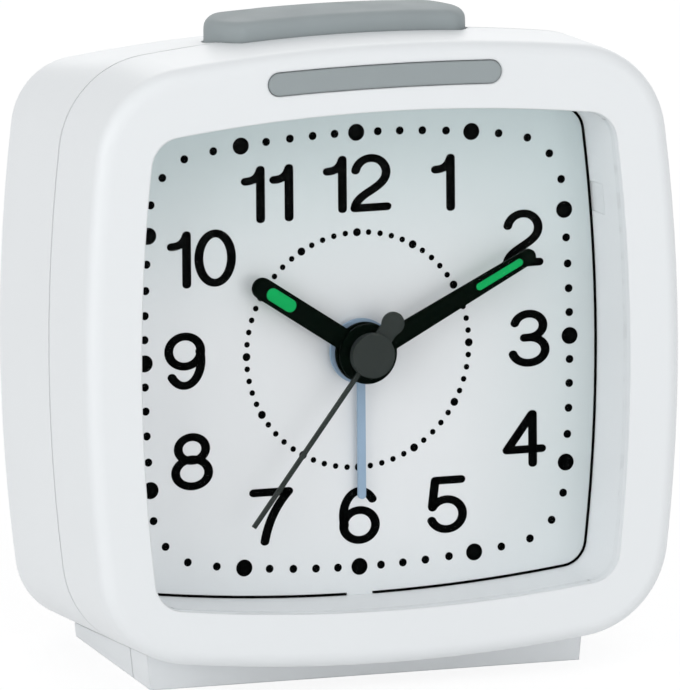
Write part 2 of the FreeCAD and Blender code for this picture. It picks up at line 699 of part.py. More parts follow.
def sound_slots():
    first = BUZZER_Z - SOUND_SLOT_PITCH * (SOUND_SLOTS - 1) / 2
    half, end = SOUND_SLOT_HALF_LENGTH, SOUND_SLOT_HEIGHT / 2
    return [
        box(
            (BUZZER_X - half, REAR_WALL_INNER - OVERCUT, z - end),
            (BUZZER_X + half, CASE_BACK + OVERCUT, z + end),
        )
        for z in [first + row * SOUND_SLOT_PITCH for row in range(SOUND_SLOTS)]
    ]


def switch_slot(y_start, y_end):
    """The slot that the alarm switch's stem slides in, through a wall at depths y_start to y_end."""
    half_x = SWITCH_STEM_LENGTH / 2 + SWITCH_TRAVEL / 2 + GAP
    half_z = SWITCH_STEM_HEIGHT / 2 + GAP
    return box(
        (SWITCH_X - half_x, y_start - OVERCUT, SWITCH_Z - half_z),
        (SWITCH_X + half_x, y_end + OVERCUT, SWITCH_Z + half_z),
    )


def rear_housing():
    rim = CASE_BACK - REAR_CHAMFER
    outer = loft(rear_outline(0, REAR_START), rear_outline(0, rim))
    outer = fuse([outer, loft(rear_outline(0, rim), rear_outline(REAR_CHAMFER, CASE_BACK))])
    outer = fuse([outer, plinth(REAR_START, PLINTH_BACK)])
    cavity = loft(rear_outline(WALL, REAR_START - OVERCUT), rear_outline(WALL, REAR_WALL_INNER))
    shell = outer.cut(cavity)

    half_x, low_z, high_z, bay_front = battery_bay()
    bay = box(
        (-half_x - BAY_WALL, bay_front - BAY_WALL, low_z - BAY_WALL),
        (half_x + BAY_WALL, CASE_BACK - WALL / 2, high_z + BAY_WALL),
    )
    posts = [
        rod(POST_RADIUS, REAR_START + SNUG, CASE_BACK - WALL / 2, *spot) for spot in screw_spots()
    ]
    half_rib = STOP_RIB_THICKNESS / 2
    ribs = [
        box(
            (x - half_rib, MOVEMENT_BACK + GAP, z - STOP_RIB_LENGTH / 2),
            (x + half_rib, CASE_BACK - WALL / 2, z + STOP_RIB_LENGTH / 2),
        )
        for x in (-STOP_RIB_X, STOP_RIB_X) for z in STOP_RIB_HEIGHTS
    ]
    shell = fuse([shell, bay, tongue()] + posts + ribs + hooks(0))
    shell = shell.cut(box((-half_x, bay_front, low_z), (half_x, CASE_BACK + OVERCUT, high_z)))
    shell = shell.cut(button_opening())

    for spot in screw_spots():
        shell = shell.cut(rod(SCREW_SHANK_RADIUS + SNUG, PARTING, CASE_BACK + OVERCUT, *spot))
        shell = shell.cut(
            rod(SCREW_HEAD_RADIUS + GAP, SCREW_HEAD_SEAT, CASE_BACK + OVERCUT, *spot)
        )
    for spot in (TIME_SET, ALARM_SET):
        shell = shell.cut(
            rod(KNOB_STEM_RADIUS + GAP, REAR_WALL_INNER - OVERCUT, CASE_BACK + OVERCUT, *spot)
        )
    for slot in sound_slots() + [switch_slot(REAR_WALL_INNER, CASE_BACK)]:
        shell = shell.cut(slot)
    axis_y, axis_z = door_axis()
    reach = half_x + DOOR_PIN_REACH + GAP
    pin_holes = along_x(DOOR_PIN_RADIUS + RUNNING, -reach, reach, axis_y, axis_z)
    return shell.cut(pin_holes).removeSplitter()


def lens():
    front = window_outline(window_outset(LENS_DEPTH) - SNUG, LENS_DEPTH)
    back = LENS_DEPTH + LENS_THICKNESS
    return loft(front, window_outline(window_outset(back) - SNUG, back))


def front_inlay():
    return extrude(inlay_outline(0, -INLAY_PROUD), INLAY_THICKNESS)


def case_screws():
    tip = PARTING - PILOT_DEPTH + GAP
    screws = []
    for spot in screw_spots():
        head = rod(SCREW_HEAD_RADIUS, SCREW_HEAD_SEAT, SCREW_HEAD_SEAT + SCREW_HEAD_HEIGHT, *spot)
        screws.append(fuse([head, rod(SCREW_SHANK_RADIUS, tip, SCREW_HEAD_SEAT, *spot)]))
    return Part.makeCompound(screws)


# ================================================================ snooze button
def snooze_button():
    low, high = CASE_TOP - 4 * WALL, CASE_TOP + BUTTON_PROUD + OVERCUT
    back = BUTTON_FRONT + BUTTON_DEPTH
    # The roof of the case slopes down towards the back, so the flange stands clear of it there.
    flange_top = TOP_RADIUS - REAR_TOP_TAPER * rear_share(back + FLANGE_WIDTH) - WALL - GAP
    flange_bottom = flange_top - FLANGE_HEIGHT
    crown = TOP_RADIUS + BUTTON_PROUD
    span = (BUTTON_FRONT - 2 * FLANGE_WIDTH, back + 2 * FLANGE_WIDTH)

    body = button_plan(0, low, high).common(arc_band(flange_bottom, crown, *span))
    top_edges = [
        edge for edge in body.Edges
        if all(
            abs(math.hypot(v.Point.x, v.Point.z - CASE_TOP + TOP_RADIUS) - crown) < 1e-4
            for v in edge.Vertexes
        )
    ]
    body = body.makeChamfer(BUTTON_CHAMFER, top_edges)
    hollow = button_plan(-BUTTON_SKIN, low, high)
    hollow = hollow.common(arc_band(flange_bottom - OVERCUT, crown - BUTTON_SKIN, *span))
    flange = button_plan(FLANGE_WIDTH, low, high).common(arc_band(flange_bottom, flange_top, *span))
    stem_front = plunger_front()
    stem = box(
        (-PLUNGER_HALF_WIDTH, stem_front, PLUNGER_FOOT_Z),
        (PLUNGER_HALF_WIDTH, stem_front + PLUNGER_DEPTH, CASE_TOP + BUTTON_PROUD - BUTTON_SKIN / 2),
    )
    return fuse([body, flange]).cut(hollow).fuse(stem).removeSplitter()


def plunger_front():
    return max(BUTTON_FRONT + (BUTTON_DEPTH - PLUNGER_DEPTH) / 2, WINDOW_TUBE_END + GAP)


def snooze_leaf():
    """A bent strip that stands on the circuit board and carries the button's plunger."""
    top = PLUNGER_FOOT_Z - SNUG
    low = BOARD_HIGH[1] - LEAF_ROOT_LENGTH
    knee = MOVEMENT_TOP + LEAF_KNEE_RISE
    front = plunger_front() + (PLUNGER_DEPTH - LEAF_LANDING) / 2
    root = BOARD_FRONT - SNUG
    points = [
        (root - LEAF_THICKNESS, low), (root - LEAF_THICKNESS, knee), (front, top - LEAF_THICKNESS),
        (front, top), (front + LEAF_LANDING, top), (root, knee), (root, low),
    ]
    corners = [Vector(-LEAF_WIDTH / 2, y, z) for y, z in points]
    return Part.Face(Part.makePolygon(corners + corners[:1])).extrude(Vector(LEAF_WIDTH, 0, 0))


# ================================================================ dial and hands
def dial_plate():
    plate = extrude(window_outline(-DIAL_GAP, DIAL_DEPTH), DIAL_THICKNESS)
    plate = fuse([plate] + dial_tabs(0, DIAL_DEPTH, DIAL_BACK))
    return plate.cut(rod(BUSH_RADIUS + SNUG, DIAL_DEPTH - OVERCUT, DIAL_BACK + OVERCUT))


def turned(shape, clockwise):
    """A hand drawn pointing at 12, turned clockwise as seen from the front."""
    shape.rotate(Vector(0, 0, 0), Vector(0, 1, 0), clockwise)
    return shape


def round_bar(length, root_width, tip_width, y, thickness, start=0.0):
    """A bar from the hands' axis upwards, tapering to a round tip."""
    tip = length - tip_width / 2
    a, b = root_width / 2, tip_width / 2
    left, right = Vector(-b, y, tip), Vector(b, y, tip)
    wire = Part.Wire([
        Part.makeLine(Vector(-a, y, start), left),
        Part.Arc(left, Vector(0, y, length), right).toShape(),
        Part.makeLine(right, Vector(a, y, start)),
        Part.makeLine(Vector(a, y, start), Vector(-a, y, start)),
    ])
    return extrude(wire, thickness)


def slot_bar(low, high, low_width, high_width, y, thickness):
    """A strip with two round ends, for the luminous filling of a hand."""
    a, b = low_width / 2, high_width / 2
    bottom, top = low + a, high - b
    wire = Part.Wire([
        Part.makeLine(Vector(-a, y, bottom), Vector(-b, y, top)),
        Part.Arc(Vector(-b, y, top), Vector(0, y, high), Vector(b, y, top)).toShape(),
        Part.makeLine(Vector(b, y, top), Vector(a, y, bottom)),
        Part.Arc(Vector(a, y, bottom), Vector(0, y, low), Vector(-a, y, bottom)).toShape(),
    ])
    return extrude(wire, thickness)


def hand_front(lift, thickness):
    return DIAL_DEPTH - lift - thickness


def hand_hole(radius, y):
    """The hole that a hand sits on its pipe with; y is the hand's front."""
    return rod(radius + PRESSED, y - OVERCUT, y + HAND_THICKNESS + OVERCUT)


def hour_lume(grow, y, thickness):
    high = HOUR_LENGTH - HOUR_LUME_TIP_MARGIN + grow
    width = HOUR_HAND_WIDTH - 2 * LUME_MARGIN + 2 * grow
    return slot_bar(high - HOUR_LUME_LENGTH - 2 * grow, high, width, width, y, thickness)


def minute_lume(grow, y, thickness):
    high = MINUTE_LENGTH - MINUTE_LUME_TIP_MARGIN + grow
    width = MINUTE_TIP_WIDTH - 2 * LUME_MARGIN + 2 * grow
    return slot_bar(high - MINUTE_LUME_LENGTH - 2 * grow, high, width, width, y, thickness)


def hour_hand():
    y = hand_front(HOUR_HAND_LIFT, HAND_THICKNESS)
    arm = round_bar(HOUR_LENGTH, HOUR_HAND_WIDTH, HOUR_HAND_WIDTH, y, HAND_THICKNESS)
    hub = rod(HOUR_HUB_RADIUS, y, y + HAND_THICKNESS)
    hand = fuse([arm, hub]).cut(hand_hole(HOUR_TUBE_RADIUS, y))
    slot = hour_lume(0, y - OVERCUT, HAND_THICKNESS + 2 * OVERCUT)
    return turned(hand.cut(slot), HOUR_ANGLE)


def minute_hand():
    y = hand_front(MINUTE_HAND_LIFT, HAND_THICKNESS)
    arm = round_bar(MINUTE_LENGTH, MINUTE_HAND_WIDTH, MINUTE_TIP_WIDTH, y, HAND_THICKNESS)
    hub = rod(MINUTE_HUB_RADIUS, y, y + HAND_THICKNESS)
    hand = fuse([arm, hub]).cut(hand_hole(CANNON_OUTER_RADIUS, y))
    slot = minute_lume(0, y - OVERCUT, HAND_THICKNESS + 2 * OVERCUT)
    return turned(hand.cut(slot), MINUTE_ANGLE)


def hour_hand_lume():
    y = hand_front(HOUR_HAND_LIFT, HAND_THICKNESS)
    return turned(hour_lume(-PRESSED, y - LUME_PROUD, HAND_THICKNESS), HOUR_ANGLE)


def minute_hand_lume():
    y = hand_front(MINUTE_HAND_LIFT, HAND_THICKNESS)
    return turned(minute_lume(-PRESSED, y - LUME_PROUD, HAND_THICKNESS), MINUTE_ANGLE)


def second_hand():
    front = hand_front(SECOND_HAND_LIFT, SECOND_HAND_THICKNESS)
    back = front + SECOND_HAND_THICKNESS
    half, half_neck = SECOND_HAND_WIDTH / 2, SECOND_NECK_WIDTH / 2
    tail_centre = SECOND_TAIL_LENGTH - SECOND_TAIL_RADIUS
    needle = box((-half, front, 0), (half, back, SECOND_LENGTH))
    lobe = rod(SECOND_TAIL_RADIUS, front, back, 0, -tail_centre)
    neck = box((-half_neck, front, -tail_centre), (half_neck, back, 0))
    cap = rod(SECOND_CAP_RADIUS, back - SECOND_CAP_HEIGHT, back)
    hole = rod(SECONDS_ARBOR_RADIUS + PRESSED, front, back + OVERCUT)
    return turned(fuse([needle, lobe, neck, cap]).cut(hole), SECOND_ANGLE)


def alarm_hand():
    y = hand_front(ALARM_HAND_LIFT, ALARM_HAND_THICKNESS)
    arm = round_bar(ALARM_LENGTH, ALARM_HAND_WIDTH, ALARM_HAND_WIDTH, y, ALARM_HAND_THICKNESS)
    hub = rod(ALARM_HUB_RADIUS, y, y + ALARM_HAND_THICKNESS)
    hand = fuse([arm, hub]).cut(hand_hole(ALARM_TUBE_RADIUS, y))
    return turned(hand, ALARM_ANGLE)


# ================================================================ movement
def rounded_block(y_start, y_end):
    """The movement's outline, a rounded rectangle."""
    x = MOVEMENT_HALF_WIDTH
    block = box((-x, y_start, MOVEMENT_BOTTOM), (x, y_end, MOVEMENT_TOP))
    upright = [e for e in block.Edges if abs(e.BoundBox.YLength - (y_end - y_start)) < 1e-4]
    return block.makeFillet(MOVEMENT_CORNER, upright)


def movement_room(y_start, y_end):
    """The space inside the movement's walls."""
    x = MOVEMENT_HALF_WIDTH - MOVEMENT_WALL
    low, high = MOVEMENT_BOTTOM + MOVEMENT_WALL, MOVEMENT_TOP - MOVEMENT_WALL
    return box((-x, y_start, low), (x, y_end, high))


def bridge_corners(thickness, y_start, y_end):
    """Blocks against the top and bottom walls, over the bridge's four corners."""
    low, high = MOVEMENT_BOTTOM + MOVEMENT_WALL, MOVEMENT_TOP - MOVEMENT_WALL
    outside, inside = BRIDGE_HALF_WIDTH, BRIDGE_HALF_WIDTH - BRIDGE_LEDGE_LENGTH
    return [
        box((x_low, y_start, z_low), (x_high, y_end, z_high))
        for x_low, x_high in ((-outside, -inside), (inside, outside))
        for z_low, z_high in ((low - thickness, low + thickness), (high - thickness, high + thickness))
    ]


def clip_sides():
    """Side and height of each of the four clips."""
    return [(side, z) for side in (-1, 1) for z in CLIP_HEIGHTS]


def side_box(side, x_low, x_high, y_start, y_end, z, width):
    """A box on the movement's left or right side, from x_low to x_high away from the middle."""
    low, high = sorted((side * x_low, side * x_high))
    return box((low, y_start, z - width / 2), (high, y_end, z + width / 2))


def movement_front_case():
    floor = MOVEMENT_FRONT + MOVEMENT_WALL
    tray = rounded_block(MOVEMENT_FRONT, MOVEMENT_SPLIT)
    tray = tray.cut(movement_room(floor, MOVEMENT_SPLIT + OVERCUT))
    bush = rod(BUSH_RADIUS, DIAL_BACK - BUSH_LENGTH + SNUG, floor)
    outline = rounded_block(MOVEMENT_FRONT, MOVEMENT_BACK)
    ledges = [
        corner.common(outline) for corner in bridge_corners(BRIDGE_LEDGE, floor - SNUG, BRIDGE_FRONT)
    ]
    half = SPACER_SIZE / 2
    low, high = MOVEMENT_BOTTOM + half, MOVEMENT_TOP - half
    spacers = [
        box((x - half, DIAL_BACK, z - half), (x + half, MOVEMENT_FRONT + SNUG, z + half))
        for x in (-SPACER_X, SPACER_X) for z in (low + half, high - half)
    ]
    catch = MOVEMENT_SPLIT - CATCH_SETBACK - CATCH_LENGTH
    catches = [
        side_box(
            side, MOVEMENT_HALF_WIDTH - SNUG, MOVEMENT_HALF_WIDTH + CLIP_THICKNESS,
            catch, catch + CATCH_LENGTH, z, CLIP_WIDTH / 2,
        )
        for side, z in clip_sides()
    ]
    body = fuse([tray, bush] + ledges + spacers + catches)
    body = body.cut(rod(BORE_ALARM, DIAL_BACK - BUSH_LENGTH, floor + OVERCUT))
    for spot in (TIME_SET, ALARM_SET):
        pivot_hole = rod(THIN_ARBOR_RADIUS + RUNNING, MOVEMENT_FRONT - OVERCUT, floor + OVERCUT, *spot)
        body = body.cut(pivot_hole)
    return body.removeSplitter()


def movement_bridge():
    back = BRIDGE_FRONT + BRIDGE_THICKNESS
    low, high = MOVEMENT_BOTTOM + MOVEMENT_WALL + SNUG, MOVEMENT_TOP - MOVEMENT_WALL - SNUG
    plate = box((-BRIDGE_HALF_WIDTH, BRIDGE_FRONT, low), (BRIDGE_HALF_WIDTH, back, high))
    holes = [rod(BORE_CANNON, BRIDGE_FRONT - OVERCUT, back + OVERCUT)]
    holes += [
        rod(THIN_ARBOR_RADIUS + RUNNING, BRIDGE_FRONT - OVERCUT, back + OVERCUT, *spot)
        for spot in (THIRD, INTERMEDIATE, ROTOR)
    ]
    stud = rod(THIN_ARBOR_RADIUS, LAYER_HOUR - GAP, BRIDGE_FRONT + BRIDGE_THICKNESS / 2, *MINUTE)
    return fuse([plate, stud]).cut(Part.makeCompound(holes))


def bearing_block(spot, y_start, y_end):
    half = BEARING_HALF_WIDTH
    return box((spot[0] - half, y_start, spot[1] - half), (spot[0] + half, y_end, spot[1] + half))


def movement_rear_cover():
    roof = MOVEMENT_BACK - MOVEMENT_WALL
    start = MOVEMENT_SPLIT + SNUG
    tray = rounded_block(start, MOVEMENT_BACK).cut(movement_room(start - OVERCUT, roof))
    # Three legs hold the bridge down; the coil takes the fourth corner.
    bridge_back = BRIDGE_FRONT + BRIDGE_THICKNESS
    corners = bridge_corners(BRIDGE_LEDGE, bridge_back + SNUG, roof + SNUG)
    inside = movement_room(bridge_back, MOVEMENT_BACK)
    legs = [corner.common(inside) for corner in corners[:2] + corners[3:]]
    bearings = (HANDS, THIRD, INTERMEDIATE, ROTOR)
    seats = [bearing_block(spot, roof - BEARING_LENGTH, roof + SNUG) for spot in bearings]
    clips = [
        side_box(
            side, MOVEMENT_HALF_WIDTH + SNUG, MOVEMENT_HALF_WIDTH + SNUG + CLIP_THICKNESS,
            start - CLIP_REACH, start + CLIP_REACH, z, CLIP_WIDTH,
        )
        for side, z in clip_sides()
    ]
    roots = [
        side_box(
            side, MOVEMENT_HALF_WIDTH - SNUG, MOVEMENT_HALF_WIDTH + CLIP_THICKNESS,
            start + GAP, start + CLIP_REACH, z, CLIP_WIDTH,
        )
        for side, z in clip_sides()
    ]
    body = fuse([tray] + legs + seats + clips + roots)
    catch = MOVEMENT_SPLIT - CATCH_SETBACK - CATCH_LENGTH
    for side, z in clip_sides():
        body = body.cut(side_box(
            side, MOVEMENT_HALF_WIDTH, MOVEMENT_HALF_WIDTH + 2 * CLIP_THICKNESS,
            catch - SNUG, catch + CATCH_LENGTH + SNUG, z, CLIP_WIDTH / 2 + 2 * SNUG,
        ))
    for spot in bearings:
        body = body.cut(rod(THIN_ARBOR_RADIUS + RUNNING, roof - BEARING_LENGTH - OVERCUT, roof, *spot))
    through = (roof - OVERCUT, MOVEMENT_BACK + OVERCUT)
    for spot in (TIME_SET, ALARM_SET):
        body = body.cut(rod(SETTING_ARBOR_RADIUS + RUNNING, *through, *spot))
    body = body.cut(rod(BUZZER_RADIUS + GAP, *through, BUZZER_X, BUZZER_Z))
    half_slot = LEAF_WIDTH / 2 + GAP
    leaf_slot = box(
        (-half_slot, start - OVERCUT, MOVEMENT_TOP - MOVEMENT_WALL - OVERCUT),
        (half_slot, BOARD_FRONT + GAP, MOVEMENT_TOP + OVERCUT),
    )
    return body.cut(switch_slot(roof, MOVEMENT_BACK)).cut(leaf_slot).removeSplitter()


def alarm_wheel():
    front = hand_front(ALARM_HAND_LIFT, ALARM_HAND_THICKNESS) - PIPE_PROUD
    wheel = gear(TEETH_ALARM, MODULE_ALARM, ALARM_PHASE, HANDS, LAYER_ALARM, WHEEL_THICKNESS, 0)
    back = LAYER_ALARM + WHEEL_THICKNESS
    pipe = rod(ALARM_TUBE_RADIUS, front, back)
    return fuse([wheel, pipe]).cut(rod(BORE_HOUR, front - OVERCUT, back + OVERCUT))


def hour_wheel():
    front = hand_front(HOUR_HAND_LIFT, HAND_THICKNESS) - PIPE_PROUD
    wheel = gear(TEETH_HOUR, MODULE_HOUR, HOUR_PHASE, HANDS, LAYER_HOUR, WHEEL_THICKNESS, 0)
    back = LAYER_HOUR + WHEEL_THICKNESS
    pipe = rod(HOUR_TUBE_RADIUS, front, back)
    return fuse([wheel, pipe]).cut(rod(BORE_CANNON, front - OVERCUT, back + OVERCUT))


def cannon_pinion():
    front = hand_front(MINUTE_HAND_LIFT, HAND_THICKNESS) - PIPE_PROUD
    back = LAYER_CENTRE + WHEEL_THICKNESS + 2 * PINION_MARGIN
    leaves = gear(TEETH_CANNON, MODULE_MOTION, CANNON_PHASE, HANDS, LAYER_MINUTE, PINION_THICKNESS, 0)
    pipe = rod(CANNON_OUTER_RADIUS, front, back)
    return fuse([leaves, pipe]).cut(rod(BORE_SECONDS, front - OVERCUT, back + OVERCUT))


def minute_wheel():
    """Turns on the bridge's stud, with its pinion in front of it."""
    start, front = LAYER_MINUTE + PINION_MARGIN, LAYER_HOUR - PINION_MARGIN
    wheel = gear(TEETH_MINUTE, MODULE_MOTION, MINUTE_PHASE, MINUTE, start, WHEEL_THICKNESS, 0)
    pinion = gear(
        TEETH_MINUTE_PINION, MODULE_HOUR, MINUTE_PINION_PHASE, MINUTE, front, start - front, 0
    )
    bore = rod(THIN_ARBOR_RADIUS + RUNNING, front - OVERCUT, BRIDGE_FRONT, *MINUTE)
    return fuse([wheel, pinion]).cut(bore)


def time_set_pinion():
    front, back = MOVEMENT_FRONT + SNUG, KNOB_STEM_FRONT + KNOB_SOCKET_DEPTH - SNUG
    pivot = rod(THIN_ARBOR_RADIUS, front, LAYER_MINUTE, *TIME_SET)
    arbor = rod(SETTING_ARBOR_RADIUS, LAYER_MINUTE - ARBOR_SHOULDER, back, *TIME_SET)
    leaves = gear(
        TEETH_TIME_SET, MODULE_MOTION, TIME_SET_PHASE, TIME_SET, LAYER_MINUTE, PINION_THICKNESS, 0
    )
    return fuse([pivot, arbor, leaves])


def alarm_set_pinion():
    front, back = MOVEMENT_FRONT + SNUG, KNOB_STEM_FRONT + KNOB_SOCKET_DEPTH - SNUG
    pivot = rod(THIN_ARBOR_RADIUS, front, LAYER_ALARM + WHEEL_THICKNESS, *ALARM_SET)
    arbor = rod(SETTING_ARBOR_RADIUS, LAYER_ALARM, back, *ALARM_SET)
    leaves = gear(
        TEETH_ALARM_SET, MODULE_ALARM, ALARM_SET_PHASE, ALARM_SET, LAYER_ALARM, WHEEL_THICKNESS, 0
    )
    return fuse([pivot, arbor, leaves])


def centre_wheel():
    """Rides on the cannon pinion with a light friction grip, so the hands can be set."""
    bore = CANNON_OUTER_RADIUS + RUNNING / 2
    return gear(TEETH_CENTRE, MODULE_CENTRE, CENTRE_PHASE, HANDS, LAYER_CENTRE, WHEEL_THICKNESS, bore)


def third_wheel():
    start, front = LAYER_THIRD + PINION_MARGIN, LAYER_CENTRE - SNUG
    wheel = gear(TEETH_THIRD, MODULE_THIRD, THIRD_PHASE, THIRD, start, WHEEL_THICKNESS, 0)
    leaves = gear(
        TEETH_THIRD_PINION, MODULE_CENTRE, THIRD_PINION_PHASE, THIRD, front, start - front, 0
    )
    arbor = rod(THIN_ARBOR_RADIUS, BRIDGE_FRONT + SNUG, MOVEMENT_BACK - MOVEMENT_WALL - SNUG, *THIRD)
    return fuse([wheel, leaves, arbor])


def seconds_wheel():
    front = hand_front(SECOND_HAND_LIFT, SECOND_HAND_THICKNESS) + SNUG
    back = MOVEMENT_BACK - MOVEMENT_WALL - SNUG
    arbor = rod(SECONDS_ARBOR_RADIUS, front, back)
    leaves = gear(
        TEETH_SECONDS_PINION, MODULE_THIRD, SECONDS_PINION_PHASE, HANDS, LAYER_THIRD, PINION_THICKNESS, 0
    )
    start = LAYER_SECONDS + PINION_MARGIN
    wheel = gear(TEETH_SECONDS, MODULE_SECONDS, SECONDS_PHASE, HANDS, start, WHEEL_THICKNESS, 0)
    return fuse([arbor, leaves, wheel])


def intermediate_wheel():
    length = LAYER_INTERMEDIATE - LAYER_SECONDS
    leaves = gear(
        TEETH_INTERMEDIATE_PINION, MODULE_SECONDS, INTERMEDIATE_PINION_PHASE,
        INTERMEDIATE, LAYER_SECONDS, length, 0,
    )
    wheel = gear(
        TEETH_INTERMEDIATE, MODULE_ROTOR, INTERMEDIATE_PHASE,
        INTERMEDIATE, LAYER_INTERMEDIATE, WHEEL_THICKNESS, 0,
    )
    back = MOVEMENT_BACK - MOVEMENT_WALL - SNUG
    arbor = rod(THIN_ARBOR_RADIUS, BRIDGE_FRONT + SNUG, back, *INTERMEDIATE)
    return fuse([leaves, wheel, arbor])


def magnet_front():
    return LAYER_INTERMEDIATE - ROTOR_MAGNET_SETBACK


def rotor():
    start = magnet_front()
    magnet = rod(ROTOR_MAGNET_RADIUS, start, start + ROTOR_MAGNET_HEIGHT, *ROTOR)
    leaves = gear(
        TEETH_ROTOR, MODULE_ROTOR, ROTOR_PHASE,
        ROTOR, LAYER_INTERMEDIATE - PINION_MARGIN, PINION_THICKNESS, 0,
    )
    arbor = rod(THIN_ARBOR_RADIUS, BRIDGE_FRONT + SNUG, MOVEMENT_BACK - MOVEMENT_WALL - SNUG, *ROTOR)
    return fuse([magnet, leaves, arbor])


# ================================================================ motor and electronics
def coil_place():
    """X of the coil's two ends, its depth and its height."""
    start = ROTOR[0] + COIL_FROM_ROTOR
    return start, start + COIL_LENGTH, magnet_front() + ROTOR_MAGNET_HEIGHT / 2, MOVEMENT_BOTTOM + COIL_HEIGHT


def bar_along_x(width, x_start, x_end, y, z):
    """A square bar along X."""
    half = width / 2
    return box((x_start, y - half, z - half), (x_end, y + half, z + half))


def coil_bobbin():
    start, end, y, z = coil_place()
    sleeve = bar_along_x(COIL_CORE + 2 * COIL_SLEEVE, start, end, y, z)
    flanges = [
        bar_along_x(COIL_FLANGE_WIDTH, x, x + COIL_FLANGE, y, z) for x in (start, end - COIL_FLANGE)
    ]
    channel = bar_along_x(COIL_CORE + 2 * PRESSED, start - OVERCUT, end + OVERCUT, y, z)
    return fuse([sleeve] + flanges).cut(channel)


def coil_winding():
    start, end, y, z = coil_place()
    low, high = start + COIL_FLANGE, end - COIL_FLANGE
    sleeve = bar_along_x(COIL_CORE + 2 * COIL_SLEEVE, low - OVERCUT, high + OVERCUT, y, z)
    return along_x(COIL_RADIUS, low, high, y, z).cut(sleeve)


def stator():
    """The iron: a plate round the rotor's magnet, joined to the bar through the coil."""
    start, end, y, z = coil_place()
    front = y - STATOR_THICKNESS / 2
    iron = bar_along_x(COIL_CORE, start - COIL_OVERHANG, end + COIL_OVERHANG, y, z)
    hole_radius = ROTOR_MAGNET_RADIUS + GAP
    left, top = ROTOR[0] - hole_radius - STATOR_RIM, ROTOR[1] + hole_radius + STATOR_RIM / 2
    bottom = MOVEMENT_BOTTOM + MOVEMENT_WALL + GAP
    plate = box((left, front, bottom), (start - GAP, front + STATOR_THICKNESS, top))
    hole = rod(hole_radius, front - OVERCUT, front + STATOR_THICKNESS + OVERCUT, *ROTOR)
    return fuse([plate, iron]).cut(hole)


def circuit_board():
    """Notched at the bottom, where the third wheel's arbor passes."""
    back = BOARD_FRONT + BOARD_THICKNESS
    board = box((BOARD_LOW[0], BOARD_FRONT, BOARD_LOW[1]), (BOARD_HIGH[0], back, BOARD_HIGH[1]))
    half = BEARING_HALF_WIDTH + GAP
    notch = box(
        (THIRD[0] - half, BOARD_FRONT - OVERCUT, BOARD_LOW[1] - OVERCUT),
        (THIRD[0] + half, back + OVERCUT, THIRD[1] + half),
    )
    return board.cut(notch)


def clock_chip():
    """The chip under its drop of black resin."""
    return rod(CHIP_RADIUS, BOARD_FRONT - CHIP_HEIGHT, BOARD_FRONT, CHIP_X, CHIP_Z)


def quartz_crystal():
    """A small can that lies on the front of the board."""
    depth = BOARD_FRONT - CRYSTAL_RADIUS
    return along_x(CRYSTAL_RADIUS, CRYSTAL_X, CRYSTAL_X + CRYSTAL_LENGTH, depth, CRYSTAL_Z)


def buzzer():
    start = BOARD_FRONT + BOARD_THICKNESS
    return rod(BUZZER_RADIUS, start, start + BUZZER_HEIGHT, BUZZER_X, BUZZER_Z)


def alarm_switch():
    """A grooved cap outside, a flange inside the wall and a stem that reaches the circuit board."""
    start = SWITCH_X - SWITCH_TRAVEL / 2

    def block(length, height, y_start, y_end, x=start):
        return box(
            (x - length / 2, y_start, SWITCH_Z - height / 2), (x + length / 2, y_end, SWITCH_Z + height / 2)
        )

    outside, inside = CASE_BACK + SNUG, REAR_WALL_INNER - SNUG
    face = outside + SWITCH_CAP_DEPTH
    cap = block(SWITCH_CAP_LENGTH, SWITCH_CAP_HEIGHT, outside, face)
    for groove in range(SWITCH_GROOVES):
        x = start + (groove - (SWITCH_GROOVES - 1) / 2) * SWITCH_GROOVE_PITCH
        height = SWITCH_CAP_HEIGHT + 2 * OVERCUT
        cap = cap.cut(block(SWITCH_GROOVE_WIDTH, height, face - SWITCH_GROOVE_DEPTH, face + OVERCUT, x))
    flange = block(SWITCH_CAP_LENGTH, SWITCH_CAP_HEIGHT, inside - SWITCH_FLANGE_DEPTH, inside)
    stem_start = BOARD_FRONT + BOARD_THICKNESS + SNUG
    stem = block(SWITCH_STEM_LENGTH, SWITCH_STEM_HEIGHT, stem_start, outside + SWITCH_CAP_DEPTH / 2)
    return fuse([cap, stem, flange])


# ================================================================ setting knobs
def serrated(radius, flutes, depth, y, centre):
    """A round outline with shallow V grooves."""
    points = []
    for flute in range(flutes):
        for share, point_radius in ((0.0, radius - depth), (0.25, radius), (0.75, radius)):
            points.append(polar(point_radius, 360 * (flute + share) / flutes, centre))
    return polygon(points, y)


def setting_knob(spot):
    """A grooved thumb wheel outside the case, pressed onto its arbor."""
    face = CASE_BACK + GAP
    front = KNOB_STEM_FRONT
    grip = extrude(serrated(KNOB_RADIUS, KNOB_FLUTES, KNOB_FLUTE_DEPTH, face, spot), KNOB_HEIGHT)
    grip = grip.makeChamfer(KNOB_CHAMFER, edges_at(grip, face + KNOB_HEIGHT))
    stem = rod(KNOB_STEM_RADIUS, front, face + KNOB_CHAMFER, *spot)
    socket = rod(SETTING_ARBOR_RADIUS + PRESSED, front - OVERCUT, front + KNOB_SOCKET_DEPTH, *spot)
    return fuse([stem, grip]).cut(socket)


def time_set_knob():
    return setting_knob(TIME_SET)


def alarm_set_knob():
    return setting_knob(ALARM_SET)


# ================================================================ battery
def battery():
    half = (BATTERY_LENGTH + BATTERY_NUB_LENGTH) / 2
    cell = along_x(BATTERY_RADIUS, -half, -half + BATTERY_LENGTH, BATTERY_Y, BATTERY_Z)
    nub = along_x(BATTERY_NUB_RADIUS, half - BATTERY_NUB_LENGTH - SNUG, half, BATTERY_Y, BATTERY_Z)
    return fuse([cell, nub])


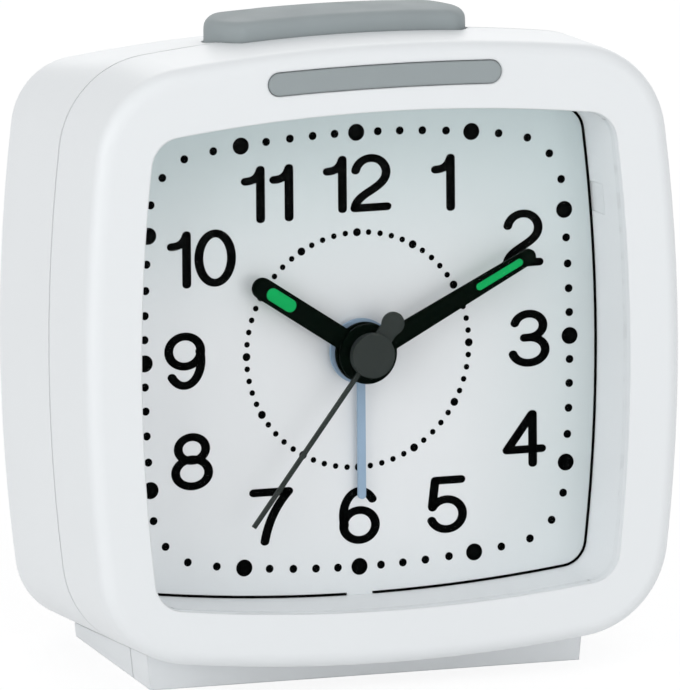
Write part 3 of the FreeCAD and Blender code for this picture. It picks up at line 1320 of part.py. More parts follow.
def contact_strip(x_wall, side):
    """A plate that lies on the bay's end wall, and where its inner face is."""
    inner = x_wall - side * CONTACT_THICKNESS
    low, high = min(x_wall, inner), max(x_wall, inner)
    half = CONTACT_WIDTH / 2
    return box((low, BATTERY_Y - half, BATTERY_Z - half), (high, BATTERY_Y + half, BATTERY_Z + half)), inner


def battery_contact_positive():
    half_x = battery_bay()[0]
    plate, inner = contact_strip(half_x, 1)
    reach = (BATTERY_LENGTH + BATTERY_NUB_LENGTH) / 2
    bump = bar_along_x(CONTACT_BUMP, reach + PRESSED, inner + CONTACT_THICKNESS / 2, BATTERY_Y, BATTERY_Z)
    return fuse([plate, bump])


def battery_contact_negative():
    half_x = battery_bay()[0]
    plate, inner = contact_strip(-half_x, -1)
    reach = (BATTERY_LENGTH + BATTERY_NUB_LENGTH) / 2
    tip = -reach - PRESSED
    # A folded leaf that leans on the cell's flat end.
    profile = [
        (inner, -CONTACT_BUMP), (tip, 0), (inner, CONTACT_BUMP),
        (inner, CONTACT_BUMP - 2 * CONTACT_THICKNESS), (tip - CONTACT_THICKNESS, 0),
        (inner, 2 * CONTACT_THICKNESS - CONTACT_BUMP),
    ]
    corners = [Vector(x - PRESSED, BATTERY_Y + y, BATTERY_Z - CONTACT_BUMP / 2) for x, y in profile]
    leaf = Part.Face(Part.makePolygon(corners + corners[:1])).extrude(Vector(0, 0, CONTACT_BUMP))
    return fuse([plate, leaf])


def battery_door():
    half_x, low_z, high_z, _ = battery_bay()
    axis_y, axis_z = door_axis()
    x = half_x - GAP
    inner = CASE_BACK - DOOR_THICKNESS
    plate = box((-x, inner, axis_z), (x, CASE_BACK, high_z - GAP))
    hinge = along_x(DOOR_THICKNESS / 2, -x, x, axis_y, axis_z)
    pins = along_x(DOOR_PIN_RADIUS, -x - DOOR_PIN_REACH, x + DOOR_PIN_REACH, axis_y, axis_z)
    door = fuse([plate, hinge, pins])
    notch = rod(
        FINGER_NOTCH_RADIUS, CASE_BACK - FINGER_NOTCH_DEPTH, CASE_BACK + OVERCUT, 0, high_z - GAP
    )
    return door.cut(notch)


# ================================================================ write the parts
def stand_on_plinth(shape):
    """Leans the upright piece back, with the middle of the plinth's underside at the origin."""
    origin = Vector(0, PLINTH_MIDDLE, base_z(PLINTH_MIDDLE))
    lean = Placement(Vector(0, 0, 0), Rotation(Vector(1, 0, 0), -LEAN))
    shape.Placement = lean.multiply(Placement(origin * -1, Rotation())).multiply(shape.Placement)
    return shape


PIECES = (
    front_housing, rear_housing, lens, front_inlay, case_screws,
    snooze_button, snooze_leaf,
    dial_plate, hour_hand, hour_hand_lume, minute_hand, minute_hand_lume, second_hand, alarm_hand,
    movement_front_case, movement_bridge, movement_rear_cover,
    alarm_wheel, hour_wheel, cannon_pinion, minute_wheel, time_set_pinion, alarm_set_pinion,
    centre_wheel, third_wheel, seconds_wheel, intermediate_wheel, rotor,
    coil_bobbin, coil_winding, stator, circuit_board, clock_chip, quartz_crystal, buzzer,
    alarm_switch, time_set_knob, alarm_set_knob,
    battery, battery_contact_positive, battery_contact_negative, battery_door,
)

for piece in PIECES:
    stand_on_plinth(piece()).exportStep(f"parts/{piece.__name__}.step")
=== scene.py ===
"""Look of the bedside alarm clock: finishes, printed dial, floor, lights and camera.

Blender works in metres. The named values for the dial, its print, and the painted shadow strip
and pocket backs round it are in millimetres, and MM turns them into metres. Places on the dial
are given as (across, up) from the hand axis, in the plane of the dial's face.
"""

import json
import math
from collections import namedtuple

import bpy
from mathutils import Matrix, Vector


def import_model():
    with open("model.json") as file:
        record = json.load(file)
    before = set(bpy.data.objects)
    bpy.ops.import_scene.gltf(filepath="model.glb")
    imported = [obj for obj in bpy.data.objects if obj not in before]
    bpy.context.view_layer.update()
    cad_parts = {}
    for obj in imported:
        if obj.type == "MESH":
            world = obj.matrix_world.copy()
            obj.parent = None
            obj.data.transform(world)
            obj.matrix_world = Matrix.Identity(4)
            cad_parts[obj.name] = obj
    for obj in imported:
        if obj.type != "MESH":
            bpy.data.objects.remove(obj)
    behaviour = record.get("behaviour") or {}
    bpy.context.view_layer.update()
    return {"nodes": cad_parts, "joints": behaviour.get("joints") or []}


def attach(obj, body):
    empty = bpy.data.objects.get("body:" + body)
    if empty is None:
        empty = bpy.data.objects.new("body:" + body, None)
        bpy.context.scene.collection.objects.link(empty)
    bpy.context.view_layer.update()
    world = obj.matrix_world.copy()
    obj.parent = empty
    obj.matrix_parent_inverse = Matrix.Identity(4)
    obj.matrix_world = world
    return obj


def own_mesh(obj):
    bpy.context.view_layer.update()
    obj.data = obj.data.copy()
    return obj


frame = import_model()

MM = 0.001
NODES = frame["nodes"]
CASE = "case"
SoftSquare = namedtuple("SoftSquare", "width height side top corner")

# ---------------------------------------------------------------- the dial's plane
HAND_JOINT = next(joint for joint in frame["joints"] if joint["name"] == "minute_hand_spin")
INWARD = Vector(HAND_JOINT["axis"]).normalized()
OUTWARD = -INWARD
ACROSS = Vector((1, 0, 0))
UP = ACROSS.cross(INWARD).normalized()
DIAL_FACE = max(vertex.co.dot(OUTWARD) for vertex in NODES["dial_plate"].data.vertices)


def on_hand_axis(distance_outward):
    """The point of the hand axis that lies this far along the outward direction."""
    start = Vector(HAND_JOINT["pos_m"])
    return start + OUTWARD * (distance_outward - start.dot(OUTWARD))


DIAL_CENTRE = on_hand_axis(DIAL_FACE)

# ---------------------------------------------------------------- printing on the dial
# A soft square has a half width and half height, and radii for its bowed sides, top and corners.
MINUTES = 60
DEGREES_PER_MINUTE = 6
PRINT_THICKNESS = 0.03
TRACK = SoftSquare(width=30.3, height=29.3, side=220, top=155, corner=8)
CORNER_PASSES = 12
HOUR_DOT = 2.3
MINUTE_DOT = 1.1
RING_RADIUS = 15.85
RING_HOUR_DOT = 1.1
RING_MINUTE_DOT = 0.78
DOT_CORNERS = 24

DIGIT_HALF_HEIGHT = 3.32
PEN_ACROSS = 0.63
PEN_UP = 0.535
PEN_CORNERS = 10
ARC_STEP = 9
CURVE_STEPS = 12
TWO_DIGIT_PITCH = 4.05
TOP_ROW = 22.4
NEXT_ROW = 21.75
NEXT_COLUMN = 12.5
ONE_SHIFT = 0.9
MIDDLE_ROW = 13.6
MIDDLE_COLUMN = 23.7
SIDE_COLUMN = 24.55
TEN_COLUMN = 22.2
ELEVEN_COLUMN = 11.65

# ---------------------------------------------------------------- round the dial's edge
WINDOW = SoftSquare(width=34.2, height=33.1, side=237, top=237, corner=3.75)
# Painted shadow: a dark strip standing in the gap between dial and window wall, where only shade
# falls.
GAP_SHADOW_START = 3.4
GAP_SHADOW_STEP = 0.8
GAP_SHADOW_INNER = -0.31
GAP_SHADOW_OUTER = -0.01
GAP_SHADOW_LIFT = 0.12
BEHIND_DIAL_DEPTH = 0.45
POCKET_LOW = 16.6
POCKET_HIGH = 21.0
POCKET_FRONT = 4.4
POCKET_SINK = 0.2
POCKET_BACK_THICKNESS = 1.3
POCKET_STEPS = 8

# ---------------------------------------------------------------- snooze button
BUTTON_GRID = 0.28
BUTTON_PASSES = 24

# ---------------------------------------------------------------- shaders
NOISE_LOW = 0.3
NOISE_HIGH = 0.7
BEVEL_SAMPLES = 6
FRESNEL_POWER = 5
LENS_SHINE = 0.001
LENS_ROUGHNESS = 0.05

# ---------------------------------------------------------------- surroundings and lamps
# In metres and watts.
WHITE = (1, 1, 1, 1)
FLOOR_HALF = 6.0
FLOOR_CORNERS = ((-1, -1), (1, -1), (1, 1), (-1, 1))
FLOOR_PAINT = (0.92, 0.92, 0.92, 1)
FLOOR_GLOW = 1.1
FLOOR_GLOW_SHARE = 0.76
SKY_COLOUR = (0.985, 0.993, 1, 1)
SKY_STRENGTH = 0.56
CLOCK_MIDDLE = (0, 0, 0.045)
CLOCK_FOOT = (0, 0, 0.03)
# Place, target, side and power of each square panel.
LAMPS = {
    "key_light": ((0.1, -0.7, 0.95), CLOCK_MIDDLE, 0.8, 2.0),
    "side_light": ((-0.95, -0.5, 0.33), CLOCK_MIDDLE, 0.8, 3.75),
    "low_light": ((0.2, -1.0, 0.05), CLOCK_FOOT, 0.6, 1.75),
    "back_light": ((0.5, 1.0, 0.5), CLOCK_MIDDLE, 0.9, 2.8),
}

# ---------------------------------------------------------------- camera
PIXELS = (680, 690)
PIXELS_PER_MM = 7.5
CAMERA_DISTANCE = 3.0
CAMERA_REACH = (0.1, 50)
SENSOR = 36
# The dial's centre is this many millimetres right and up from the middle of the picture.
DIAL_OFF_CENTRE = (2.373, -0.62)
VIEW_RIGHT = Vector((0.9355, -0.3529, 0.0294))
VIEW_UP = Vector((0.0666, 0.2445, 0.9677))


def linear(red, green, blue):
    """Scene-linear colour of an sRGB colour given from 0 to 255."""
    channels = []
    for value in (red, green, blue):
        share = value / 255
        channels.append(share / 12.92 if share <= 0.04045 else ((share + 0.055) / 1.055) ** 2.4)
    return (*channels, 1.0)


def new_object(name, data):
    """A new object in the scene, holding this mesh, lamp or camera."""
    piece = bpy.data.objects.new(name, data)
    bpy.context.scene.collection.objects.link(piece)
    return piece


def give(material, *names):
    """Makes this the only material of these CAD nodes."""
    for name in names:
        slots = NODES[name].data.materials
        slots.clear()
        slots.append(material)


# ================================================================ shader building
def empty_tree(owner):
    """Nodes and links of a material's or world's cleared node tree."""
    owner.use_nodes = True
    owner.node_tree.nodes.clear()
    return owner.node_tree.nodes, owner.node_tree.links


def reckon(nodes, links, operation, *values):
    """Result of a Math node, whose values are numbers or other nodes' outputs."""
    node = nodes.new("ShaderNodeMath")
    node.operation = operation
    for socket, value in zip(node.inputs, values):
        if isinstance(value, (int, float)):
            socket.default_value = value
        else:
            links.new(value, socket)
    return node.outputs["Value"]


def end_in_mix(nodes, links, output, share, first, second):
    """Ends a node tree in a mix of two shader nodes, the second one taking this share."""
    mix = nodes.new("ShaderNodeMixShader")
    out = nodes.new(output)
    links.new(share, mix.inputs["Fac"])
    links.new(first.outputs[0], mix.inputs[1])
    links.new(second.outputs[0], mix.inputs[2])
    links.new(mix.outputs["Shader"], out.inputs["Surface"])


# ================================================================ finishes
class Finish:
    """A procedural material: a Principled shader with grain, uneven gloss and uneven colour."""

    def __init__(self, name, colour, roughness, metallic=0.0, specular=0.5):
        self.material = bpy.data.materials.new(name)
        self.material.use_nodes = True
        self.nodes = self.material.node_tree.nodes
        self.links = self.material.node_tree.links
        self.shader = self.nodes["Principled BSDF"]
        self.colour = linear(*colour)
        self.roughness = roughness
        self.shader.inputs["Base Color"].default_value = self.colour
        self.shader.inputs["Roughness"].default_value = roughness
        self.shader.inputs["Metallic"].default_value = metallic
        self.shader.inputs["Specular IOR Level"].default_value = specular
        self.place = self.nodes.new("ShaderNodeTexCoord").outputs["Object"]
        self.normal = None

    def noise(self, size, detail=3.0, stretch=(1, 1, 1)):
        """Noise with lumps of about this many millimetres, longer where stretch is below 1."""
        mapping = self.nodes.new("ShaderNodeMapping")
        mapping.inputs["Scale"].default_value = stretch
        texture = self.nodes.new("ShaderNodeTexNoise")
        texture.inputs["Scale"].default_value = 1 / (size * MM)
        texture.inputs["Detail"].default_value = detail
        self.links.new(self.place, mapping.inputs["Vector"])
        self.links.new(mapping.outputs["Vector"], texture.inputs["Vector"])
        return texture.outputs["Fac"]

    def spread(self, factor, low, high):
        """The factor's middle range stretched to run from low to high."""
        ramp = self.nodes.new("ShaderNodeMapRange")
        ramp.inputs["From Min"].default_value = NOISE_LOW
        ramp.inputs["From Max"].default_value = NOISE_HIGH
        ramp.inputs["To Min"].default_value = low
        ramp.inputs["To Max"].default_value = high
        self.links.new(factor, ramp.inputs["Value"])
        return ramp.outputs["Result"]

    def mix_in(self, factor, other):
        """Mixes the base colour towards another one by this factor."""
        base = self.shader.inputs["Base Color"]
        mix = self.nodes.new("ShaderNodeMix")
        mix.data_type = "RGBA"
        mix.inputs["A"].default_value = self.colour
        mix.inputs["B"].default_value = other
        if base.links:
            self.links.new(base.links[0].from_socket, mix.inputs["A"])
        self.links.new(factor, mix.inputs["Factor"])
        self.links.new(mix.outputs["Result"], base)
        return self

    def uneven_colour(self, size, amount):
        """Drifts between the colour and one that is darker by this share."""
        darker = tuple(channel * (1 - amount) for channel in self.colour[:3])
        return self.mix_in(self.spread(self.noise(size), 0, 1), (*darker, 1.0))

    def uneven_gloss(self, size, amount):
        """Smears of slightly different roughness."""
        result = self.spread(self.noise(size), self.roughness - amount, self.roughness + amount)
        self.links.new(result, self.shader.inputs["Roughness"])
        return self

    def soft_edges(self, radius):
        """Rounds off how sharp edges catch the light."""
        bevel = self.nodes.new("ShaderNodeBevel")
        bevel.samples = BEVEL_SAMPLES
        bevel.inputs["Radius"].default_value = radius * MM
        self.normal = bevel.outputs["Normal"]
        self.links.new(self.normal, self.shader.inputs["Normal"])
        return self

    def grain(self, size, depth, stretch=(1, 1, 1)):
        """Fine relief, size and depth in millimetres."""
        bump = self.nodes.new("ShaderNodeBump")
        bump.inputs["Strength"].default_value = 1.0
        bump.inputs["Distance"].default_value = depth * MM
        self.links.new(self.noise(size, detail=2.0, stretch=stretch), bump.inputs["Height"])
        if self.normal is not None:
            self.links.new(self.normal, bump.inputs["Normal"])
        self.normal = bump.outputs["Normal"]
        self.links.new(self.normal, self.shader.inputs["Normal"])
        return self

    def coat(self, weight, roughness):
        """A clear gloss layer over the colour."""
        self.shader.inputs["Coat Weight"].default_value = weight
        self.shader.inputs["Coat Roughness"].default_value = roughness
        return self

    def fade(self, axis, start, end, other):
        """Painted shade: turns to another colour between two shares of the box along X, Y or Z."""
        generated = self.nodes.new("ShaderNodeTexCoord").outputs["Generated"]
        parts = self.nodes.new("ShaderNodeSeparateXYZ")
        ramp = self.nodes.new("ShaderNodeMapRange")
        ramp.interpolation_type = "SMOOTHSTEP"
        ramp.inputs["From Min"].default_value = start
        ramp.inputs["From Max"].default_value = end
        self.links.new(generated, parts.inputs["Vector"])
        self.links.new(parts.outputs[axis], ramp.inputs["Value"])
        return self.mix_in(ramp.outputs["Result"], linear(*other))

    def put_on(self, *names):
        """Gives the finish to these CAD nodes."""
        give(self.material, *names)


def case_plastic():
    """Glossy white moulded shell."""
    finish = Finish("case_white", (237, 240, 242), 0.42, specular=0.35)
    finish.uneven_colour(40, 0.012).uneven_gloss(18, 0.015)
    finish.soft_edges(0.35).grain(0.5, 0.0004)
    finish.coat(0.06, 0.2)
    finish.put_on("front_housing", "rear_housing", "battery_door")
    pocket_backs(finish)


def round_off(name, fineness, passes):
    """Rounds a node's sharp edges with modifiers, on a grid this many millimetres fine."""
    grid = NODES[name].modifiers.new("grid", "REMESH")
    grid.mode = "VOXEL"
    grid.voxel_size = fineness * MM
    grid.use_smooth_shade = True
    smooth = NODES[name].modifiers.new("smooth", "SMOOTH")
    smooth.factor = 0.5
    smooth.iterations = passes


def grey_plastic():
    """Satin grey of the button, the front inlay, the knobs and the switch."""
    finish = Finish("button_grey", (158, 166, 168), 0.55, specular=0.08)
    finish.uneven_colour(7, 0.04).uneven_gloss(4, 0.05)
    finish.soft_edges(0.5).grain(0.12, 0.004)
    finish.put_on("snooze_button", "front_inlay")
    finish.put_on("time_set_knob", "alarm_set_knob", "alarm_switch")
    round_off("snooze_button", BUTTON_GRID, BUTTON_PASSES)


def clear_window():
    """Clear polystyrene window, glossier at a slant; light for the dial passes straight through."""
    material = bpy.data.materials.new("clear_lens")
    nodes, links = empty_tree(material)
    clear = nodes.new("ShaderNodeBsdfTransparent")
    gloss = nodes.new("ShaderNodeBsdfGlossy")
    gloss.inputs["Roughness"].default_value = LENS_ROUGHNESS
    slant = nodes.new("ShaderNodeLayerWeight").outputs["Facing"]
    path = nodes.new("ShaderNodeLightPath").outputs
    rise = reckon(nodes, links, "POWER", slant, FRESNEL_POWER)
    shine = reckon(nodes, links, "MULTIPLY_ADD", rise, 1 - LENS_SHINE, LENS_SHINE)
    lighting = reckon(nodes, links, "MAXIMUM", path["Is Shadow Ray"], path["Is Diffuse Ray"])
    looked_at = reckon(nodes, links, "SUBTRACT", 1, lighting)
    shown = reckon(nodes, links, "MULTIPLY", shine, looked_at)
    end_in_mix(nodes, links, "ShaderNodeOutputMaterial", shown, clear, gloss)
    give(material, "lens")


def dial_silver():
    """Matt silver print with painted shade at its right, top and bottom, under the window's walls.
    """
    finish = Finish("dial_silver", (230, 233, 235), 0.5, metallic=0.12)
    finish.uneven_colour(22, 0.02).uneven_gloss(12, 0.02).grain(0.1, 0.002)
    # Painted shade: darker towards the right, bottom and top, where the window's walls shade the
    # dial.
    finish.fade("X", 0.62, 1.04, (204, 213, 214))
    finish.fade("Z", 0.25, -0.1, (221, 226, 228))
    finish.fade("Z", 0.5, 1.0, (203, 216, 217))
    finish.put_on("dial_plate")


def hand_finishes():
    """Painted hands and their luminous bars."""
    black = Finish("hand_black", (2, 10, 5), 0.45, specular=0.01)
    black.uneven_colour(3, 0.3).soft_edges(0.08).grain(0.15, 0.001)
    black.put_on("hour_hand", "minute_hand")
    lume = Finish("lume_green", (22, 176, 95), 0.75, specular=0.04)
    lume.uneven_colour(0.5, 0.12).grain(0.12, 0.01)
    lume.put_on("hour_hand_lume", "minute_hand_lume")
    grey = Finish("second_grey", (47, 53, 51), 0.45, specular=0.12)
    grey.uneven_colour(3, 0.15).soft_edges(0.08).grain(0.2, 0.001)
    grey.put_on("second_hand")
    blue = Finish("alarm_blue", (154, 179, 203), 0.45, specular=0.2)
    blue.uneven_colour(3, 0.06).soft_edges(0.08).grain(0.2, 0.001)
    blue.put_on("alarm_hand")


def movement_finishes():
    """Everything behind the dial and inside the battery bay."""
    plastic = Finish("movement_plastic", (222, 221, 212), 0.45)
    plastic.uneven_colour(5, 0.05).grain(0.2, 0.002)
    plastic.put_on("movement_front_case", "movement_bridge", "movement_rear_cover", "coil_bobbin")
    wheels = Finish("wheel_plastic", (236, 230, 212), 0.3)
    wheels.uneven_colour(2, 0.05).grain(0.3, 0.001)
    wheels.put_on("intermediate_wheel", "seconds_wheel", "third_wheel", "centre_wheel")
    wheels.put_on("cannon_pinion", "minute_wheel", "hour_wheel", "alarm_wheel")
    wheels.put_on("time_set_pinion", "alarm_set_pinion")
    magnet = Finish("magnet_dark", (70, 70, 72), 0.5)
    magnet.uneven_colour(1, 0.3).grain(0.1, 0.004)
    magnet.put_on("rotor")
    iron = Finish("iron", (150, 150, 152), 0.35, metallic=0.9)
    iron.uneven_gloss(1, 0.1).grain(0.2, 0.002, stretch=(1, 1, 0.1))
    iron.put_on("stator")
    copper = Finish("copper_winding", (196, 116, 62), 0.35, metallic=0.6)
    copper.uneven_colour(0.8, 0.2).grain(0.09, 0.03, stretch=(1, 0.02, 0.02))
    copper.put_on("coil_winding")
    board = Finish("board_green", (28, 104, 62), 0.45)
    board.uneven_colour(3, 0.12).grain(0.4, 0.004)
    board.put_on("circuit_board")
    black = Finish("black_plastic", (30, 31, 32), 0.55)
    black.uneven_colour(2, 0.2).grain(0.12, 0.004)
    black.put_on("clock_chip", "buzzer")
    can = Finish("crystal_can", (205, 206, 210), 0.22, metallic=1.0)
    can.uneven_gloss(1.5, 0.06).grain(0.3, 0.001)
    can.put_on("quartz_crystal")
    steel = Finish("screw_steel", (170, 172, 176), 0.3, metallic=1.0)
    steel.uneven_gloss(0.8, 0.08).grain(0.2, 0.003)
    steel.put_on("case_screws")
    cell = Finish("battery_can", (74, 78, 86), 0.32, metallic=0.4)
    cell.uneven_colour(9, 0.1).grain(1.2, 0.004, stretch=(0.1, 1, 1))
    cell.put_on("battery")
    contact = Finish("contact_metal", (208, 205, 196), 0.25, metallic=1.0)
    contact.uneven_gloss(2, 0.08).grain(0.3, 0.002, stretch=(0.2, 1, 1))
    contact.put_on("battery_contact_positive", "battery_contact_negative", "snooze_leaf")


# ================================================================ printed dial
def soft_square_point(degrees, shape, outset=0):
    """Where a ray at this clockwise angle from twelve meets a soft square about the hand axis."""
    width, height, side, top, rounding = (size + outset for size in shape)
    top_centre = Vector((0, height - top))
    side_centre = Vector((width - side, 0))
    top_reach = top - rounding
    side_reach = side - rounding
    corner = Vector((width - rounding, height - rounding))
    for _ in range(CORNER_PASSES):
        corner.x = side_centre.x + math.sqrt(side_reach**2 - corner.y**2)
        corner.y = top_centre.y + math.sqrt(top_reach**2 - corner.x**2)
    top_end = top_centre + (corner - top_centre) * top / top_reach
    side_end = side_centre + (corner - side_centre) * side / side_reach

    ray = Vector((math.sin(math.radians(degrees)), math.cos(math.radians(degrees))))
    folded = Vector((abs(ray.x), abs(ray.y)))

    def meets(centre, radius):
        along = folded.dot(centre)
        return folded * (along + math.sqrt(along**2 - centre.dot(centre) + radius**2))

    point = meets(top_centre, top)
    if point.x > top_end.x:
        point = meets(side_centre, side)
        if point.y > side_end.y:
            point = meets(corner, rounding)
    return Vector((math.copysign(point.x, ray.x), math.copysign(point.y, ray.y)))


def oval_point(centre, half_width, half_height, turn):
    """Point of an oval at this angle in radians, counter-clockwise from the right."""
    across = centre[0] + half_width * math.cos(turn)
    up = centre[1] + half_height * math.sin(turn)
    return Vector((across, up))


def disc_outline(centre, radius):
    """Corners of a small disc."""
    turns = [2 * math.pi * i / DOT_CORNERS for i in range(DOT_CORNERS)]
    return [oval_point(centre, radius, radius, turn) for turn in turns]


def stroke_faces(path):
    """A pen stroke along a path, as a strip of quads with a rounded cap at each end."""
    left, right = [], []
    for i, point in enumerate(path):
        before = path[max(i - 1, 0)]
        after = path[min(i + 1, len(path) - 1)]
        along = (after - before).normalized()
        nib = Vector((-along.y * PEN_ACROSS, along.x * PEN_UP))
        left.append(point + nib)
        right.append(point - nib)
    faces = [[right[i], right[i + 1], left[i + 1], left[i]] for i in range(len(path) - 1)]
    for end, inner in ((path[0], path[1]), (path[-1], path[-2])):
        away = (end - inner).normalized()
        heading = math.atan2(away.y, away.x)
        turns = [heading - math.pi / 2 + math.pi * i / PEN_CORNERS for i in range(PEN_CORNERS + 1)]
        faces.append([oval_point(end, PEN_ACROSS, PEN_UP, turn) for turn in turns])
    return faces


def arc(centre, half_width, half_height, start, end):
    """Points of an oval arc, angles in degrees from the right, counter-clockwise."""
    steps = max(2, round(abs(end - start) / ARC_STEP))
    turns = [math.radians(start + (end - start) * i / steps) for i in range(steps + 1)]
    return [oval_point(centre, half_width, half_height, turn) for turn in turns]


def curve(*controls):
    """Points of a Bezier curve with these control points."""
    points = []
    for i in range(CURVE_STEPS + 1):
        level = [Vector(control) for control in controls]
        while len(level) > 1:
            level = [a.lerp(b, i / CURVE_STEPS) for a, b in zip(level, level[1:])]
        points.append(level[0])
    return points


def line(start, end):
    """Points of a straight stroke."""
    return [Vector(start), Vector(start).lerp(Vector(end), 0.5), Vector(end)]


def digit_strokes(digit):
    """Centre lines of a digit in millimetres, about its own middle."""
    top = DIGIT_HALF_HEIGHT
    foot = -DIGIT_HALF_HEIGHT
    strokes = {
        "0": [arc((0, 0), 2.32, top, 90, 450)],
        "1": [line((0, foot), (0, top)), curve((-2.15, 1.85), (-0.45, 1.8), (0, top))],
        "2": [
            arc((0, 1.35), 2.2, top - 1.35, 168, 0)
            + curve((2.2, 1.35), (2.2, -0.9), (-2.1, -1.2), (-2.3, foot))[1:],
            line((-2.3, foot), (2.3, foot)),
        ],
        "3": [
            arc((-0.1, 1.72), 2.05, top - 1.72, 165, -90),
            arc((-0.1, -1.6), 2.35, top - 1.6, 90, -165),
            line((-0.75, 0.1), (-0.1, 0.1)),
        ],
        "4": [
            line((1.2, foot), (1.2, top)),
            line((-2.5, -1.4), (2.5, -1.4)),
            line((-2.5, -1.4), (1.1, top)),
        ],
        "5": [
            line((-1.6, top), (2.1, top)),
            line((-1.6, top), (-2.05, -0.15)),
            arc((0, -1.3), 2.3, top - 1.3, 150, -158),
        ],
        "6": [
            arc((0.05, -1.3), 2.28, top - 1.3, 90, 450),
            arc((0.1, 0), 2.35, top, 202, 40),
        ],
        "7": [line((-2.5, top), (2.5, top)), curve((2.5, top), (-0.2, 0.6), (-0.95, foot))],
        "8": [
            arc((0, 1.72), 1.95, top - 1.72, 90, 450),
            arc((0, -1.5), 2.35, top - 1.5, 90, 450),
        ],
    }
    strokes["9"] = [[-point for point in path] for path in strokes["6"]]
    return strokes[digit]


def numeral_places():
    """Each numeral and the middle of its figures on the dial."""
    pair = TWO_DIGIT_PITCH / 2
    singles = {
        "1": (NEXT_COLUMN + ONE_SHIFT, NEXT_ROW),
        "2": (MIDDLE_COLUMN, MIDDLE_ROW),
        "3": (SIDE_COLUMN, 0),
        "4": (MIDDLE_COLUMN, -MIDDLE_ROW),
        "5": (NEXT_COLUMN, -NEXT_ROW),
        "6": (0, -TOP_ROW),
        "7": (-NEXT_COLUMN, -NEXT_ROW),
        "8": (-MIDDLE_COLUMN, -MIDDLE_ROW),
        "9": (-SIDE_COLUMN, 0),
    }
    for text, (across, up) in singles.items():
        yield text, [(text, across, up)]
    for text, across, up in (
        ("10", -TEN_COLUMN, MIDDLE_ROW),
        ("11", -ELEVEN_COLUMN, NEXT_ROW),
        ("12", 0, TOP_ROW),
    ):
        yield text, [(text[0], across - pair, up), (text[1], across + pair, up)]


def on_dial(across, up, lift=0.0):
    """World place of a point so many millimetres across, up and in front of the dial's centre."""
    return DIAL_CENTRE + (ACROSS * across + UP * up + OUTWARD * lift) * MM


def own_piece(name, vertices, faces, finish):
    """A piece of the dressing that stays with the case."""
    mesh = bpy.data.meshes.new(name)
    mesh.from_pydata(vertices, [], faces)
    mesh.materials.append(finish.material)
    piece = new_object(name, mesh)
    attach(piece, CASE)


def printed(name, outlines, finish):
    """A thin printed layer on the dial, from closed outlines in the dial's plane."""
    vertices = []
    faces = []
    for outline in outlines:
        count = len(outline)
        first = len(vertices)
        for lift in (0, PRINT_THICKNESS):
            vertices += [on_dial(point.x, point.y, lift) for point in outline]
        faces.append(list(range(first + count, first + 2 * count)))
        faces.append(list(range(first + count - 1, first - 1, -1)))
        for i in range(count):
            j = (i + 1) % count
            faces.append([first + i, first + j, first + count + j, first + count + i])
    own_piece(name, vertices, faces, finish)


def bars(name, paths, finish):
    """Closed bars, each given as the four corners of its successive sections."""
    vertices = []
    faces = []
    for sections in paths:
        first = len(vertices)
        last = first + 4 * (len(sections) - 1)
        vertices += [corner for section in sections for corner in section]
        faces += [[first + 3, first + 2, first + 1, first], list(range(last, last + 4))]
        for start in range(first, last, 4):
            for i in range(4):
                j = (i + 1) % 4
                faces.append([start + i, start + j, start + 4 + j, start + 4 + i])
    own_piece(name, vertices, faces, finish)


def dial_gap_painted_shadow(ink_and_painted_shadow):
    """Painted shadow: a nearly black strip between dial and window wall, open at the two tabs."""
    paths = []
    for side in (1, -1):
        sections = []
        steps = round((180 - 2 * GAP_SHADOW_START) / GAP_SHADOW_STEP)
        for i in range(steps + 1):
            turn = GAP_SHADOW_START + (180 - 2 * GAP_SHADOW_START) * i / steps
            inner = soft_square_point(side * turn, WINDOW, GAP_SHADOW_INNER)
            outer = soft_square_point(side * turn, WINDOW, GAP_SHADOW_OUTER)
            corners = [
                on_dial(inner.x, inner.y, -BEHIND_DIAL_DEPTH),
                on_dial(inner.x, inner.y, GAP_SHADOW_LIFT),
                on_dial(outer.x, outer.y, GAP_SHADOW_LIFT),
                on_dial(outer.x, outer.y, -BEHIND_DIAL_DEPTH),
            ]
            sections.append(corners if side > 0 else corners[::-1])
        paths.append(sections)
    bars("dial_gap_painted_shadow", paths, ink_and_painted_shadow)


def pocket_backs(finish):
    """Backs of the shallow pockets in the window's two side walls."""
    paths = []
    for side in (1, -1):
        sections = []
        for i in range(POCKET_STEPS + 1):
            up = POCKET_LOW + (POCKET_HIGH - POCKET_LOW) * i / POCKET_STEPS
            bulge = WINDOW.side - math.sqrt(WINDOW.side**2 - up**2)
            near = WINDOW.width - bulge + POCKET_SINK
            far = near + POCKET_BACK_THICKNESS
            corners = [
                on_dial(side * near, up, -BEHIND_DIAL_DEPTH),
                on_dial(side * far, up, -BEHIND_DIAL_DEPTH),
                on_dial(side * far, up, POCKET_FRONT),
                on_dial(side * near, up, POCKET_FRONT),
            ]
            sections.append(corners if side > 0 else corners[::-1])
        paths.append(sections)
    bars("window_pocket_backs", paths, finish)


